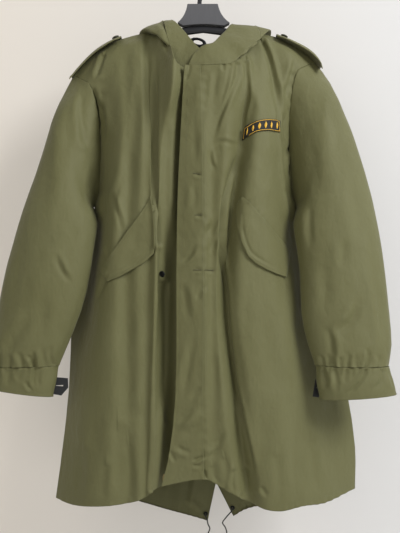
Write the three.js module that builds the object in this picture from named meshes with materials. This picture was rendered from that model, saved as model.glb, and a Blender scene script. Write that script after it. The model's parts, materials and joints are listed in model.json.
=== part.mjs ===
// Fishtail parka hung, unfastened, on a plastic coat hanger.
// Millimetres, +Z up, +X to the right of someone facing the coat, front facing -Y.
// The origin is the inner top of the hanger's hook, where a rail would carry it.
// "right" and "left" in names are the wearer's, so the right pieces lie at -X.

import * as THREE from "three";

// ---------------------------------------------------------------- driving sizes

const WALL = 2; // shell cloth with its lining
const SEAM_GAP = 0.3;
const YOKE_DROP = 22; // the first level lies this far under the top edge
const LEVEL_Z = { chest: -310, armpit: -480, hip: -640, thigh: -860 };

// Levels down a panel, each with the rows of facets to the next one.
const LEVELS = [
  { name: "top", rows: 1 },
  { name: "yoke", rows: 4 },
  { name: "chest", rows: 3 },
  { name: "armpit", rows: 3 },
  { name: "hip", rows: 3 },
  { name: "thigh", rows: 2 },
  { name: "skirt", rows: 3 },
  { name: "hem", rows: 0 },
];
const ARMPIT_LEVEL = 3;
const CORNER_LEVEL = { seam: ARMPIT_LEVEL, centre: 6 };
const FOLD_STEPS = 3; // facets between neighbouring fold lines
const LAST_LEVEL = LEVELS.length - 1;

const ARMHOLE_HALF_DEPTH = 60;
const ARMPIT = { from: 0.6, lean: 0.8 }; // part of the way down, sideways lean at the bottom
const SLEEVE_STEPS = 2; // facets between neighbouring sleeve rings
const CUFF_WALL = 3;

// How the directions through the walls are combed: the least lean to a facet's
// own direction, and the least part kept of an edge's length on the inner side.
const COMB = { passes: 40, lean: 0.3, kept: 0.25, pull: 0.3 };
const LAYER_SHARE = 0.42; // of the room between two layers, filled by each one's wall
const THINNEST = 0.4; // part of the wall's thickness left beside a sharp fold

const HOOD_STEPS = [3, 2, 2]; // neck seam to sag, to turn, to ridge
const BAND_STEPS = 3;
const BAND_WALL = 2.6;
const BAND_BOW = 3;

// The storm flap runs from the front's seam ridge past its edge. Its lift off
// the front grows from the seam to the free edge.
const FLAP_WALL = 2.4;
const STORM_FLAP_BEYOND = 7;
const STORM_FLAP_LIFT = [3, 2.2, 1.6, 1, 0.35];

const STRAP_WALL = 2.6;
const STRAP_WIDTH = 50;
const STRAP_TIP_WIDTH = 36;
const BUTTON = { radius: 7.5, height: 3, lift: 0.5 };
const DISC_SIDES = 20;

const PATCH_WALL = 1.6;
const TAPE = { wall: 1.4, beyond: 5, under: 9 };
const ZIP_BOX = { width: 7, depth: 4, height: 13, aside: -2.5, drop: 1 };
const SNAP = { x: -75, z: -621, radius: 6.5, height: 2.4, lift: 0.6 };
const TAB_WALL = 3;
const LOOP = { radius: 11, wire: 2.3, x: -3, y: 57, z: -122, stretch: 1.3, flatten: 0.65, tilt: 14 };

const EYELET = { hole: 2, rim: 5, shoulder: 4, height: 1.6 };
const CORD = { radius: 1.35, sides: 8, spacing: 6 };
const KNOT_RADIUS = 3.6;

const HOOK = { innerRadius: 17.5, width: 9, depth: 6, from: -52, sweep: 252, steps: 28 };

// --------------------------------------------------------------------- colours

const OLIVE = 0x6b6841;
const OLIVE_DARK = 0x5a5630;
const BLACK = 0x2f2f31;
const GREY = 0x68686a;
const BRASS = 0x8c7f55;

// ---------------------------------------------------------------- fold tables
// One row for each vertical fold line of a panel, from its first edge to its last.
// A cell is [x, y] at a fixed level, or [x, y, z] where the edge sets the height.

const FOLD_COLUMNS = "fold top yoke chest armpit hip thigh skirt hem";

// Each side edge is half the armhole down to the armpit, then the side seam.

const ARMHOLE_FRONT_RIGHT = ["seam", [-262, 0, -209], [-226, -27], [-205, -18]];
const ARMHOLE_BACK_RIGHT = ["seam", [-262, 0, -209], [-240, 26], [-214, 40]];
const SIDE_SEAM_RIGHT = [
  [-216, 14], [-262, 18], [-273, 8], [-285, 0, -980], [-298, -6, -1085],
];

const ARMHOLE_FRONT_LEFT = ["seam", [240, 0, -181], [201, -26], [184, -18]];
const ARMHOLE_BACK_LEFT = ["seam", [240, 0, -181], [229, 15], [194, 40]];
const SIDE_SEAM_LEFT = [
  [200, 14], [262, 20], [306, 6], [323, -2, -980], [322, -5, -1066],
];

const FRONT_RIGHT = table(FOLD_COLUMNS, [
  ["edge", [14, -74, -214], [12, -76], [-6, -68], [-10, -66], [-14, -62],
    [-16, -60], [-28, -60, -970], [-40, -62, -1030]],
  ["recess", [-14, -77, -213.5], [-18, -79], [-47, -60], [-51, -56], [-54, -52],
    [-56, -50], [-58, -52, -970], [-64, -56, -1036]],
  ["crest", [-44, -78, -209], [-47, -84], [-67, -88], [-79, -93], [-83, -95],
    [-83, -98], [-86, -98, -975], [-90, -95, -1045]],
  ["rise", [-66, -48, -150], [-70, -56], [-82, -84], [-87, -88], [-92, -93],
    [-92, -95], [-94, -94, -975], [-97, -92, -1051]],
  ["trough", [-108, 0, -122], [-108, -22], [-97, -66], [-95, -80], [-101, -88],
    [-101, -90], [-103, -89, -980], [-104, -88, -1057]],
  ["crest2", [-128, 0, -124], [-124, -25], [-112, -80], [-117, -86], [-121, -92],
    [-117, -94], [-118, -95, -980], [-119, -94, -1063]],
  ["dip2", [-150, 0, -129], [-146, -25], [-131, -62], [-141, -74], [-144, -82],
    [-140, -84], [-140, -84, -985], [-141, -84, -1071]],
  ["crest3", [-180, 0, -140], [-174, -25], [-154, -68], [-162, -80], [-166, -88],
    [-167, -92], [-170, -93, -985], [-175, -92, -1074]],
  ["dip3", [-214, 0, -160], [-200, -26], [-184, -44], [-184, -52], [-196, -64],
    [-206, -76], [-208, -80, -985], [-212, -80, -1079]],
  ["side", [-240, 0, -185], [-216, -28], [-198, -30], [-203, -16], [-223, -8],
    [-246, -38], [-250, -44, -985], [-257, -50, -1085]],
  [...ARMHOLE_FRONT_RIGHT, ...SIDE_SEAM_RIGHT],
]);

const FRONT_LEFT = table(FOLD_COLUMNS, [
  ["edge", [-22, -90, -213], [-23, -90], [-27, -88], [-35, -90], [-37, -91],
    [-39, -91], [-52, -90, -975], [-67, -88, -1034]],
  ["ridge", [2, -92, -213], [3, -94], [5, -98], [7, -101], [8, -101],
    [7, -100], [8, -98, -970], [10, -95, -1020]],
  ["dip1", [30, -93, -212.5], [30, -93], [28, -90], [25, -92], [23, -92],
    [26, -94], [34, -93, -975], [42, -92, -1037]],
  ["crest1", [62, -91, -208.5], [60, -92], [58, -94], [43, -96], [35, -94],
    [48, -98], [62, -97, -980], [75, -95, -1055]],
  ["valley", [82, -66, -188], [84, -68], [89, -67], [65, -66], [51, -68],
    [72, -72], [88, -74, -985], [103, -76, -1072]],
  ["crest2", [94, -36, -152], [97, -44], [111, -84], [88, -93], [72, -98],
    [93, -100], [109, -99, -985], [126, -96, -1079]],
  ["face", [106, 0, -121], [108, -23], [134, -77], [128, -86], [115, -94],
    [136, -98], [148, -98, -985], [160, -96, -1083]],
  ["dip2", [132, 0, -123], [134, -24], [163, -50], [162, -52], [157, -72],
    [187, -82], [194, -84, -985], [203, -84, -1077]],
  ["side", [195, 0, -147], [186, -28], [178, -30], [185, -16], [206, -8],
    [238, -46], [244, -52, -985], [251, -58, -1079]],
  [...ARMHOLE_FRONT_LEFT, ...SIDE_SEAM_LEFT],
]);

const BACK_RIGHT = table(FOLD_COLUMNS, [
  [...ARMHOLE_BACK_RIGHT, ...SIDE_SEAM_RIGHT],
  ["blade", [-214, 0, -160], [-206, 26], [-188, 44], [-196, 54], [-226, 58],
    [-236, 60], [-246, 56, -990], [-256, 52, -1090]],
  ["fold1", [-160, 0, -132], [-162, 25], [-156, 62], [-156, 72], [-176, 78],
    [-186, 82], [-190, 80, -1000], [-196, 76, -1102]],
  ["neck", [-108, 0, -122], [-110, 24], [-108, 62], [-108, 66], [-118, 68],
    [-124, 72], [-128, 72, -1010], [-131, 71, -1117]],
  ["fold2", [-72, 42, -126], [-72, 48], [-64, 72], [-60, 80], [-60, 86],
    [-56, 90], [-60, 86, -1030], [-74, 80, -1137]],
  ["fold3", [-34, 58, -128], [-34, 63], [-30, 66], [-26, 70], [-20, 74],
    [-8, 76], [-2, 78, -1050], [-22, 78, -1150]],
  ["centre", [0, 63, -126], [0, 67], [0, 72], [4, 78], [12, 84],
    [28, 88], [36, 84, -1078], [17.5, 80, -1162]],
]);

const BACK_LEFT = table(FOLD_COLUMNS, [
  ["centre", [0, 63, -126], [0, 67], [0, 72], [4, 78], [12, 84],
    [28, 88], [36, 84, -1078], [74, 80, -1153]],
  ["fold3", [36, 58, -122], [36, 63], [34, 67], [36, 72], [44, 76],
    [60, 80], [70, 78, -1050], [97, 78, -1138]],
  ["fold2", [72, 42, -120], [72, 48], [68, 74], [72, 82], [86, 88],
    [104, 90], [118, 84, -1030], [136, 80, -1128]],
  ["neck", [106, 0, -121], [110, 24], [112, 62], [114, 68], [138, 72],
    [160, 74], [172, 72, -1010], [184, 70, -1112]],
  ["fold1", [160, 0, -129], [160, 25], [152, 60], [152, 70], [186, 78],
    [222, 80], [234, 74, -1000], [244, 68, -1096]],
  ["blade", [210, 0, -156], [190, 26], [172, 42], [182, 54], [228, 58],
    [272, 56], [288, 48, -990], [294, 40, -1082]],
  [...ARMHOLE_BACK_LEFT, ...SIDE_SEAM_LEFT],
]);

// Rings down a sleeve after the armhole: the outer and inner points of each
// and half its depth from front to back.
const RING_COLUMNS = "ring outer inner halfDepth";

const SLEEVE_RIGHT = table(RING_COLUMNS, [
  ["cap", [-292, 0, -267], [-222, -6, -484], 58],
  ["upper", [-316, -4, -340], [-214, -22, -502], 58],
  ["biceps", [-340, -10, -422], [-207, -40, -520], 56],
  ["above elbow", [-364, -18, -495], [-212, -51, -566], 54],
  ["elbow", [-394, -26, -610], [-225, -54, -653], 52],
  ["forearm", [-413, -34, -715], [-250, -55, -732], 47],
  ["wrist", [-424, -42, -775], [-270, -56, -780], 40],
  ["gather", [-428, -46, -806], [-280, -56, -803], 33],
]);

const SLEEVE_LEFT = table(RING_COLUMNS, [
  ["cap", [272, 0, -225], [203, -6, -484], 58],
  ["upper", [303, -4, -297], [196, -22, -504], 58],
  ["biceps", [330, -12, -380], [189, -40, -521], 57],
  ["above elbow", [351, -20, -458], [192, -53, -552], 55],
  ["elbow", [372, -32, -575], [200, -57, -615], 53],
  ["forearm", [382, -50, -700], [203, -66, -702], 48],
  ["wrist", [381, -68, -762], [214, -76, -760], 42],
  ["gather", [372, -80, -801], [226, -84, -799], 34],
]);

const CUFF_RIGHT = table(RING_COLUMNS, [
  ["seam", [-428, -46, -807], [-281, -56, -804], 32],
  ["middle", [-433, -48, -828], [-283, -57, -832], 30],
  ["hem", [-431, -49, -848], [-292, -58, -866], 29],
]);

const CUFF_LEFT = table(RING_COLUMNS, [
  ["seam", [373, -80, -802], [227, -84, -800], 33],
  ["middle", [382, -86, -828], [226, -88, -832], 31],
  ["hem", [386, -88, -856], [234, -88, -866], 30],
]);

// Flaps and patch that lie on a front: points along the sewn edge and opposite
// them along the free edge, as [x, z] seen from the front.
const LYING_COLUMNS = "sewn free";

const POCKET_FLAP_RIGHT = table(LYING_COLUMNS, [
  [[-95, -470], [-90, -492]],
  [[-119, -507], [-86, -539]],
  [[-146, -543], [-89, -581]],
  [[-172, -580], [-132, -612]],
  [[-197, -611], [-182, -636]],
]);

const POCKET_FLAP_LEFT = table(LYING_COLUMNS, [
  [[85, -469], [76, -484]],
  [[109, -495], [76, -531]],
  [[133, -522], [94, -587]],
  [[158, -549], [130, -612]],
  [[183, -575], [172, -628]],
]);

const PATCH = table(LYING_COLUMNS, [
  [[88, -332], [85, -356]],
  [[112, -321], [110, -343]],
  [[137, -315], [136, -338]],
  [[161, -314], [161, -338]],
]);

// Spines of the shoulder loops, from the armhole seam up to the buttoned tip:
// x, z, and how far the sides droop below the spine.
const STRAP_COLUMNS = "x z droop";

const STRAP_RIGHT = table(STRAP_COLUMNS, [
  [-267, -210, 12],
  [-247, -186, 13],
  [-216, -155, 13],
  [-190, -139, 11],
  [-163, -127, 8],
]);

const STRAP_LEFT = table(STRAP_COLUMNS, [
  [252.3, -192.3, 9],
  [248, -175, 12],
  [228, -154, 13],
  [198, -138, 11],
  [160, -123, 8],
]);

// Hanger arm from end to end: height of its top edge and of its section.
const ARM_COLUMNS = "x top height";

const ARM = table(ARM_COLUMNS, [
  [-244, -198.5, 8],
  [-234, -187, 13],
  [-214, -165, 17],
  [-180, -144, 19],
  [-150, -133, 20],
  [-108, -126, 20],
  [-65, -117, 19],
  [-28, -107.8, 16],
  [8, -105.2, 14],
  [44, -107.8, 16],
  [82, -118, 18],
  [106, -125, 19],
  [140, -128.5, 20],
  [170, -139.5, 19],
  [198, -154, 17],
  [214, -168, 13],
  [224, -178, 8],
]);

// Drawcords out of the hem eyelets, as they hang.
const CORD_RIGHT_ROUTE = [
  [13, 75.5, -1147], [13.5, 70, -1150], [16.5, 68.5, -1157], [18.5, 69, -1167],
  [22.5, 72, -1177], [18.5, 72, -1188], [13, 72, -1203], [12, 73, -1228],
  [17, 72, -1252], [15, 72, -1278], [13, 72, -1298],
];

const CORD_LEFT_ROUTE = [
  [72.5, 75.5, -1134], [71, 70, -1137], [66, 68.5, -1142.5], [57, 69, -1153],
  [50, 70, -1164], [56, 71, -1174], [59.5, 72, -1188], [57, 72, -1207],
  [61, 72, -1234], [58, 72, -1262], [59, 72, -1286],
];

// ------------------------------------------------------------------- helpers

function table(columns, rows) {
  const names = columns.split(" ");
  return rows.map((row) => Object.fromEntries(names.map((name, i) => [name, row[i]])));
}

function vector([x, y, z]) {
  return new THREE.Vector3(x, y, z);
}

function curveThrough(points) {
  return new THREE.CatmullRomCurve3(points, false, "centripetal");
}

function levelPoint(row, level) {
  const cell = row[level];
  if (cell.length === 3) return vector(cell);
  const z = level === "yoke" ? row.top[2] - YOKE_DROP : LEVEL_Z[level];
  return new THREE.Vector3(cell[0], cell[1], z);
}

// A fold line's point at a height counted in levels. A line with a corner turns
// sharply there: the side edge at the armpit, the centre back where it splits.
function foldLine(row) {
  const points = LEVELS.map(({ name }) => levelPoint(row, name));
  const corner = CORNER_LEVEL[row.fold];
  if (corner === undefined) {
    const whole = curveThrough(points);
    return (height) => whole.getPoint(height / LAST_LEVEL);
  }
  const above = curveThrough(points.slice(0, corner + 1));
  const below = curveThrough(points.slice(corner));
  return (height) =>
    height <= corner
      ? above.getPoint(height / corner)
      : below.getPoint((height - corner) / (LAST_LEVEL - corner));
}

// A panel's surface: fold lines run down it, and each row is a curve across them.
class Panel {
  constructor(rows) {
    this.folds = rows.map(foldLine);
    this.lastFold = rows.length - 1;
    this.acrossSteps = this.lastFold * FOLD_STEPS;
    this.heights = LEVELS.flatMap(({ rows: count }, level) =>
      Array.from({ length: count }, (_, i) => level + i / count),
    ).concat(LAST_LEVEL);
    this.grid = this.heights.map((height) =>
      Array.from({ length: this.acrossSteps + 1 }, (_, i) => this.at(i / FOLD_STEPS, height)),
    );
  }

  at(fold, height) {
    const points = this.folds.map((line) => line(height));
    return curveThrough(points).getPoint(fold / this.lastFold);
  }

  // The foremost point of the faceted panel at x and z.
  project(x, z) {
    let best = null;
    const from = new THREE.Vector3(x, -1000, z);
    const ray = new THREE.Ray(from, new THREE.Vector3(0, 1, 0));
    const hit = new THREE.Vector3();
    const seen = ([a, b, c]) => {
      if (!ray.intersectTriangle(a, b, c, false, hit)) return;
      if (best === null || hit.y < best.point.y) {
        const normal = new THREE.Vector3().crossVectors(b.clone().sub(a), c.clone().sub(a));
        if (normal.y > 0) normal.negate();
        best = { point: hit.clone(), normal: normal.normalize() };
      }
    };
    for (let i = 0; i < this.grid.length - 1; i += 1) {
      for (let j = 0; j < this.acrossSteps; j += 1) {
        const [a, b] = [this.grid[i][j], this.grid[i + 1][j]];
        const [c, d] = [this.grid[i + 1][j + 1], this.grid[i][j + 1]];
        seen([a, b, c]);
        seen([a, c, d]);
      }
    }
    if (best === null) throw new Error(`no cloth at x ${x}, z ${z}`);
    return best;
  }
}

// Unit directions through the wall, from each outer point towards its inside.
function inwardDirections(grid, inside, closed) {
  const rows = grid.length;
  const columns = grid[0].length;
  let agreement = 0;
  const directions = grid.map((row, i) =>
    row.map((point, j) => {
      const up = grid[Math.max(i - 1, 0)][j];
      const down = grid[Math.min(i + 1, rows - 1)][j];
      const before = row[closed ? (j + columns - 1) % columns : Math.max(j - 1, 0)];
      const after = row[closed ? (j + 1) % columns : Math.min(j + 1, columns - 1)];
      const along = down.clone().sub(up);
      const direction = after.clone().sub(before).cross(along).normalize();
      agreement += direction.dot(inside(point, i).sub(point).normalize());
      return direction;
    }),
  );
  if (agreement < 0) directions.forEach((row) => row.forEach((direction) => direction.negate()));
  return directions;
}

// The normals of the two facets of a grid's quad, on one same side of the cloth.
function quadNormals(grid, i, j, after) {
  const [a, b, c, d] = [grid[i][j], grid[i + 1][j], grid[i + 1][after], grid[i][after]];
  const lower = c.clone().sub(b).cross(b.clone().sub(a)).normalize();
  const upper = d.clone().sub(a).cross(c.clone().sub(d)).normalize();
  return [lower, upper];
}

// Turns the directions through a wall where its folds are tight, so that the
// inner side neither doubles back nor comes through the outer side. The ones
// that held(i, j) picks lie on seams and stay as they are.
function comb(grid, inward, held, closed = false) {
  const rows = grid.length;
  const columns = grid[0].length;
  const spans = closed ? columns : columns - 1;
  const facets = [];
  const edges = [];
  let agreement = 0;
  for (let i = 0; i < rows; i += 1) {
    for (let j = 0; j < columns; j += 1) {
      const after = (j + 1) % columns;
      if (j < spans) edges.push([i, j, i, after]);
      if (i < rows - 1) edges.push([i, j, i + 1, j]);
      if (i === rows - 1 || j >= spans) continue;
      const [lower, upper] = quadNormals(grid, i, j, after);
      facets.push({ normal: lower, corners: [[i, j], [i + 1, j], [i + 1, after]] });
      facets.push({ normal: upper, corners: [[i, j], [i + 1, after], [i, after]] });
      agreement += lower.dot(inward[i][j]);
    }
  }
  if (agreement < 0) facets.forEach(({ normal }) => normal.negate());
  const turn = (i, j, towards, amount) => {
    if (!held(i, j)) inward[i][j].addScaledVector(towards, amount).normalize();
  };
  for (let pass = 0; pass < COMB.passes; pass += 1) {
    facets.forEach(({ normal, corners }) =>
      corners.forEach(([i, j]) => {
        if (inward[i][j].dot(normal) < COMB.lean) turn(i, j, normal, COMB.pull);
      }),
    );
    edges.forEach(([i, j, k, l]) => {
      const along = grid[k][l].clone().sub(grid[i][j]);
      const [here, there] = [inward[i][j].clone(), inward[k][l].clone()];
      const shift = there.clone().sub(here).multiplyScalar(WALL);
      if (along.dot(shift.add(along)) > COMB.kept * along.lengthSq()) return;
      turn(i, j, there, COMB.pull);
      turn(k, l, here, COMB.pull);
    });
  }
}

// Shortens the directions where two layers of one cloth lie closer than their
// walls, as they do beside a sharp fold.
function thinBetweenLayers(grid, inward, held) {
  const triangles = [];
  for (let i = 0; i < grid.length - 1; i += 1) {
    for (let j = 0; j < grid[0].length - 1; j += 1) {
      const [a, b, c, d] = [grid[i][j], grid[i + 1][j], grid[i + 1][j + 1], grid[i][j + 1]];
      triangles.push([a, b, c], [a, c, d]);
    }
  }
  const ray = new THREE.Ray();
  const hit = new THREE.Vector3();
  grid.forEach((row, i) =>
    row.forEach((point, j) => {
      if (held(i, j)) return;
      ray.set(point, inward[i][j]);
      const opposite = triangles.filter((corners) => !corners.includes(point));
      const rooms = opposite
        .filter((corners) => ray.intersectTriangle(...corners, false, hit))
        .map((corners) => ray.intersectTriangle(...corners, false, hit).distanceTo(point));
      const share = Math.min(1, (Math.min(...rooms, Infinity) * LAYER_SHARE) / WALL);
      inward[i][j].multiplyScalar(Math.max(share, THINNEST));
    }),
  );
}

// A cloth wall between a grid of outer points and the same points moved inwards.
function wallGeometry(outer, inward, thickness, closed = false) {
  const rows = outer.length;
  const columns = outer[0].length;
  const inner = outer.map((row, i) =>
    row.map((point, j) => point.clone().addScaledVector(inward[i][j], thickness)),
  );
  const points = [...outer.flat(), ...inner.flat()];
  const sheet = rows * columns;
  const at = (i, j, side) => side * sheet + i * columns + (j % columns);
  const faces = [];
  const quad = (a, b, c, d) => faces.push(a, b, c, a, c, d);
  const spans = closed ? columns : columns - 1;
  for (let i = 0; i < rows - 1; i += 1) {
    for (let j = 0; j < spans; j += 1) {
      quad(at(i, j, 0), at(i + 1, j, 0), at(i + 1, j + 1, 0), at(i, j + 1, 0));
      quad(at(i, j, 1), at(i, j + 1, 1), at(i + 1, j + 1, 1), at(i + 1, j, 1));
    }
  }
  for (let j = 0; j < spans; j += 1) {
    quad(at(0, j + 1, 0), at(0, j + 1, 1), at(0, j, 1), at(0, j, 0));
    const last = rows - 1;
    quad(at(last, j, 0), at(last, j, 1), at(last, j + 1, 1), at(last, j + 1, 0));
  }
  for (let i = 0; i < rows - 1 && !closed; i += 1) {
    const last = columns - 1;
    quad(at(i, 0, 0), at(i, 0, 1), at(i + 1, 0, 1), at(i + 1, 0, 0));
    quad(at(i + 1, last, 0), at(i + 1, last, 1), at(i, last, 1), at(i, last, 0));
  }
  return closedGeometry(points, faces);
}

// A geometry from points and triangles, turned so that its faces point out.
function closedGeometry(points, faces) {
  let volume = 0;
  for (let i = 0; i < faces.length; i += 3) {
    const [a, b, c] = [points[faces[i]], points[faces[i + 1]], points[faces[i + 2]]];
    volume += a.dot(b.clone().cross(c));
  }
  const geometry = new THREE.BufferGeometry();
  geometry.setFromPoints(points);
  geometry.setIndex(volume < 0 ? faces.reverse() : faces);
  geometry.computeVertexNormals();
  return geometry;
}

function material(color, roughness = 0.85, metalness = 0) {
  return new THREE.MeshStandardMaterial({ color, roughness, metalness, side: THREE.DoubleSide });
}

const parka = new THREE.Group();
parka.name = "fishtail_parka_on_hanger";

function addPiece(name, geometry, color, roughness, metalness) {
  const piece = new THREE.Mesh(geometry, material(color, roughness, metalness));
  piece.name = name;
  parka.add(piece);
  return piece;
}

// Moves an edge point back from a seam, towards its neighbour inside the piece.
function backFromSeam(point, neighbour, distance = SEAM_GAP / 2) {
  return point.clone().add(neighbour.clone().sub(point).setLength(distance));
}

function levelled(direction, axis) {
  const flat = direction.clone();
  flat[axis] = 0;
  return flat.normalize();
}

// ------------------------------------------------------------ fronts and backs

const frontRight = new Panel(FRONT_RIGHT);
const frontLeft = new Panel(FRONT_LEFT);
const backRight = new Panel(BACK_RIGHT);
const backLeft = new Panel(BACK_LEFT);

const armholeRows = frontRight.heights.indexOf(ARMPIT_LEVEL);

// The way through the cloth at the armhole seam, shared by body and sleeve.
function armholeDirection(point, shoulder, armpit) {
  const centreZ = (shoulder.z + armpit.z) / 2;
  const down = (shoulder.z - point.z) / (shoulder.z - armpit.z);
  const centreY = THREE.MathUtils.lerp(shoulder.y, armpit.y, down);
  const halfHeight = (shoulder.z - armpit.z) / 2;
  const y = (centreY - point.y) / ARMHOLE_HALF_DEPTH ** 2;
  const z = (centreZ - point.z) / halfHeight ** 2;
  return new THREE.Vector3(0, y, z).normalize();
}

// The body's way through the cloth there, which leans inwards near the armpit.
function bodyArmholeDirection(point, shoulder, armpit) {
  const down = (shoulder.z - point.z) / (shoulder.z - armpit.z);
  const direction = armholeDirection(point, shoulder, armpit);
  direction.x = -Math.sign(point.x) * ARMPIT.lean * Math.max(0, (down - ARMPIT.from) / (1 - ARMPIT.from));
  return direction.normalize();
}

// Builds a body panel. The side edge holds the armhole and the side seam.
function bodyPanel(name, panel, { facing, sideLast, neckFolds, centreSeam, color }) {
  const grid = panel.grid.map((row) => row.map((point) => point.clone()));
  const inside = (point) => new THREE.Vector3(point.x * 0.8, 0, point.z);
  const inward = inwardDirections(panel.grid, inside, false);
  const last = panel.acrossSteps;
  const side = sideLast ? last : 0;
  const beside = sideLast ? last - 1 : 1;
  const [firstNeck, lastNeck] = neckFolds.map((fold) => fold * FOLD_STEPS);
  const shoulder = panel.grid[0][side];
  const armpit = panel.grid[armholeRows][side];
  grid.forEach((row, i) => {
    row[side] = backFromSeam(panel.grid[i][side], panel.grid[i][beside]);
    inward[i][side] =
      i <= armholeRows
        ? bodyArmholeDirection(panel.grid[i][side], shoulder, armpit)
        : levelled(inward[i][side], "y");
    if (centreSeam !== undefined) {
      const next = centreSeam === 0 ? 1 : last - 1;
      row[centreSeam] = backFromSeam(panel.grid[i][centreSeam], panel.grid[i][next]);
      inward[i][centreSeam] = levelled(inward[i][centreSeam], "x");
    }
  });
  for (let j = 0; j <= last; j += 1) {
    const neckPoint = j === lastNeck && sideLast ? true : j === firstNeck && !sideLast;
    const onNeck = j >= firstNeck && j <= lastNeck && !neckPoint;
    const depth = Math.max(facing * grid[0][j].y, SEAM_GAP / 2);
    grid[0][j].y = facing * (onNeck ? depth : SEAM_GAP / 2);
    if (j !== side) inward[0][j] = levelled(inward[0][j], onNeck ? "z" : "y");
  }
  comb(grid, inward, (i, j) => i === 0 || j === side || j === centreSeam);
  panel.inward = inward;
  panel.outer = grid;
  addPiece(name, wallGeometry(grid, inward, WALL), color);
}

bodyPanel("front_right", frontRight, {
  facing: -1, sideLast: true, neckFolds: [0, 4], color: OLIVE,
});
bodyPanel("front_left", frontLeft, {
  facing: -1, sideLast: true, neckFolds: [0, 6], color: OLIVE,
});
bodyPanel("back_right", backRight, {
  facing: 1, sideLast: false, neckFolds: [3, 6], centreSeam: backRight.acrossSteps,
  color: OLIVE_DARK,
});
bodyPanel("back_left", backLeft, {
  facing: 1, sideLast: true, neckFolds: [0, 3], centreSeam: 0, color: OLIVE_DARK,
});

// --------------------------------------------------------------------- sleeves

// The armhole's points in order: shoulder, down the front, armpit, up the back.
function armholeRing(front, back, backSide) {
  const frontSide = front.acrossSteps;
  const down = front.grid.slice(0, armholeRows + 1).map((row) => row[frontSide]);
  const up = back.grid.slice(1, armholeRows).map((row) => row[backSide]).reverse();
  return [...down, ...up];
}

// A ring of the sleeve: an oval from its outer point, round the front, to its
// inner point and back.
function ovalRing({ outer, inner, halfDepth }, count) {
  const [out, inn] = [vector(outer), vector(inner)];
  const centre = out.clone().add(inn).multiplyScalar(0.5);
  const half = out.clone().sub(inn).multiplyScalar(0.5);
  const forward = new THREE.Vector3(0, -1, 0);
  forward.addScaledVector(half, -forward.dot(half) / half.lengthSq()).setLength(halfDepth);
  return Array.from({ length: count }, (_, i) => {
    const turn = (2 * Math.PI * i) / count;
    const point = centre.clone().addScaledVector(half, Math.cos(turn));
    return point.addScaledVector(forward, Math.sin(turn));
  });
}

// Rings between the named ones, each point on a smooth curve down the sleeve.
function loft(rings, steps) {
  const lines = rings[0].map((_, j) => curveThrough(rings.map((ring) => ring[j])));
  const total = (rings.length - 1) * steps;
  const ringAt = (part) => lines.map((line) => line.getPoint(part));
  return Array.from({ length: total + 1 }, (_, i) => ringAt(i / total));
}

function ringCentre(ring) {
  return ring.reduce((sum, point) => sum.add(point), new THREE.Vector3()).divideScalar(ring.length);
}

// A sleeve in two halves, sewn along its outer line and under the arm.
function sleeve(side, armhole, sections) {
  const rings = [armhole, ...sections.map((section) => ovalRing(section, armhole.length))];
  const grid = loft(rings, SLEEVE_STEPS);
  const centres = grid.map(ringCentre);
  const inward = inwardDirections(grid, (point, i) => centres[i].clone(), true);
  const shoulder = armhole[0];
  const armpit = armhole[armholeRows];
  const first = grid[0].map((point, j) => backFromSeam(point, grid[1][j], SEAM_GAP));
  const outer = [first, ...grid.slice(1)];
  inward[0] = armhole.map((point) => armholeDirection(point, shoulder, armpit));
  comb(outer, inward, (i) => i === 0, true);
  const addHalf = (name, from, to) => {
    const cut = (row) => [...row, row[0]].slice(from, to + 1);
    const rows = outer.map(cut);
    rows.forEach((row) => {
      const last = row.length - 1;
      row[0] = backFromSeam(row[0], row[1], SEAM_GAP);
      row[last] = backFromSeam(row[last], row[last - 1], SEAM_GAP);
    });
    addPiece(name, wallGeometry(rows, inward.map(cut), WALL), OLIVE);
  };
  addHalf(`sleeve_front_${side}`, 0, armholeRows);
  addHalf(`sleeve_back_${side}`, armholeRows, armhole.length);
}

function cuff(name, sections, count) {
  const grid = sections.map((section) => ovalRing(section, count));
  const centres = grid.map(ringCentre);
  const inward = inwardDirections(grid, (point, i) => centres[i].clone(), true);
  addPiece(name, wallGeometry(grid, inward, CUFF_WALL, true), OLIVE);
}

const armholeRight = armholeRing(frontRight, backRight, 0);
const armholeLeft = armholeRing(frontLeft, backLeft, backLeft.acrossSteps);
sleeve("right", armholeRight, SLEEVE_RIGHT);
sleeve("left", armholeLeft, SLEEVE_LEFT);
cuff("cuff_right", CUFF_RIGHT, armholeRight.length);
cuff("cuff_left", CUFF_LEFT, armholeLeft.length);

// ------------------------------------------------------------- hood and its band

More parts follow.
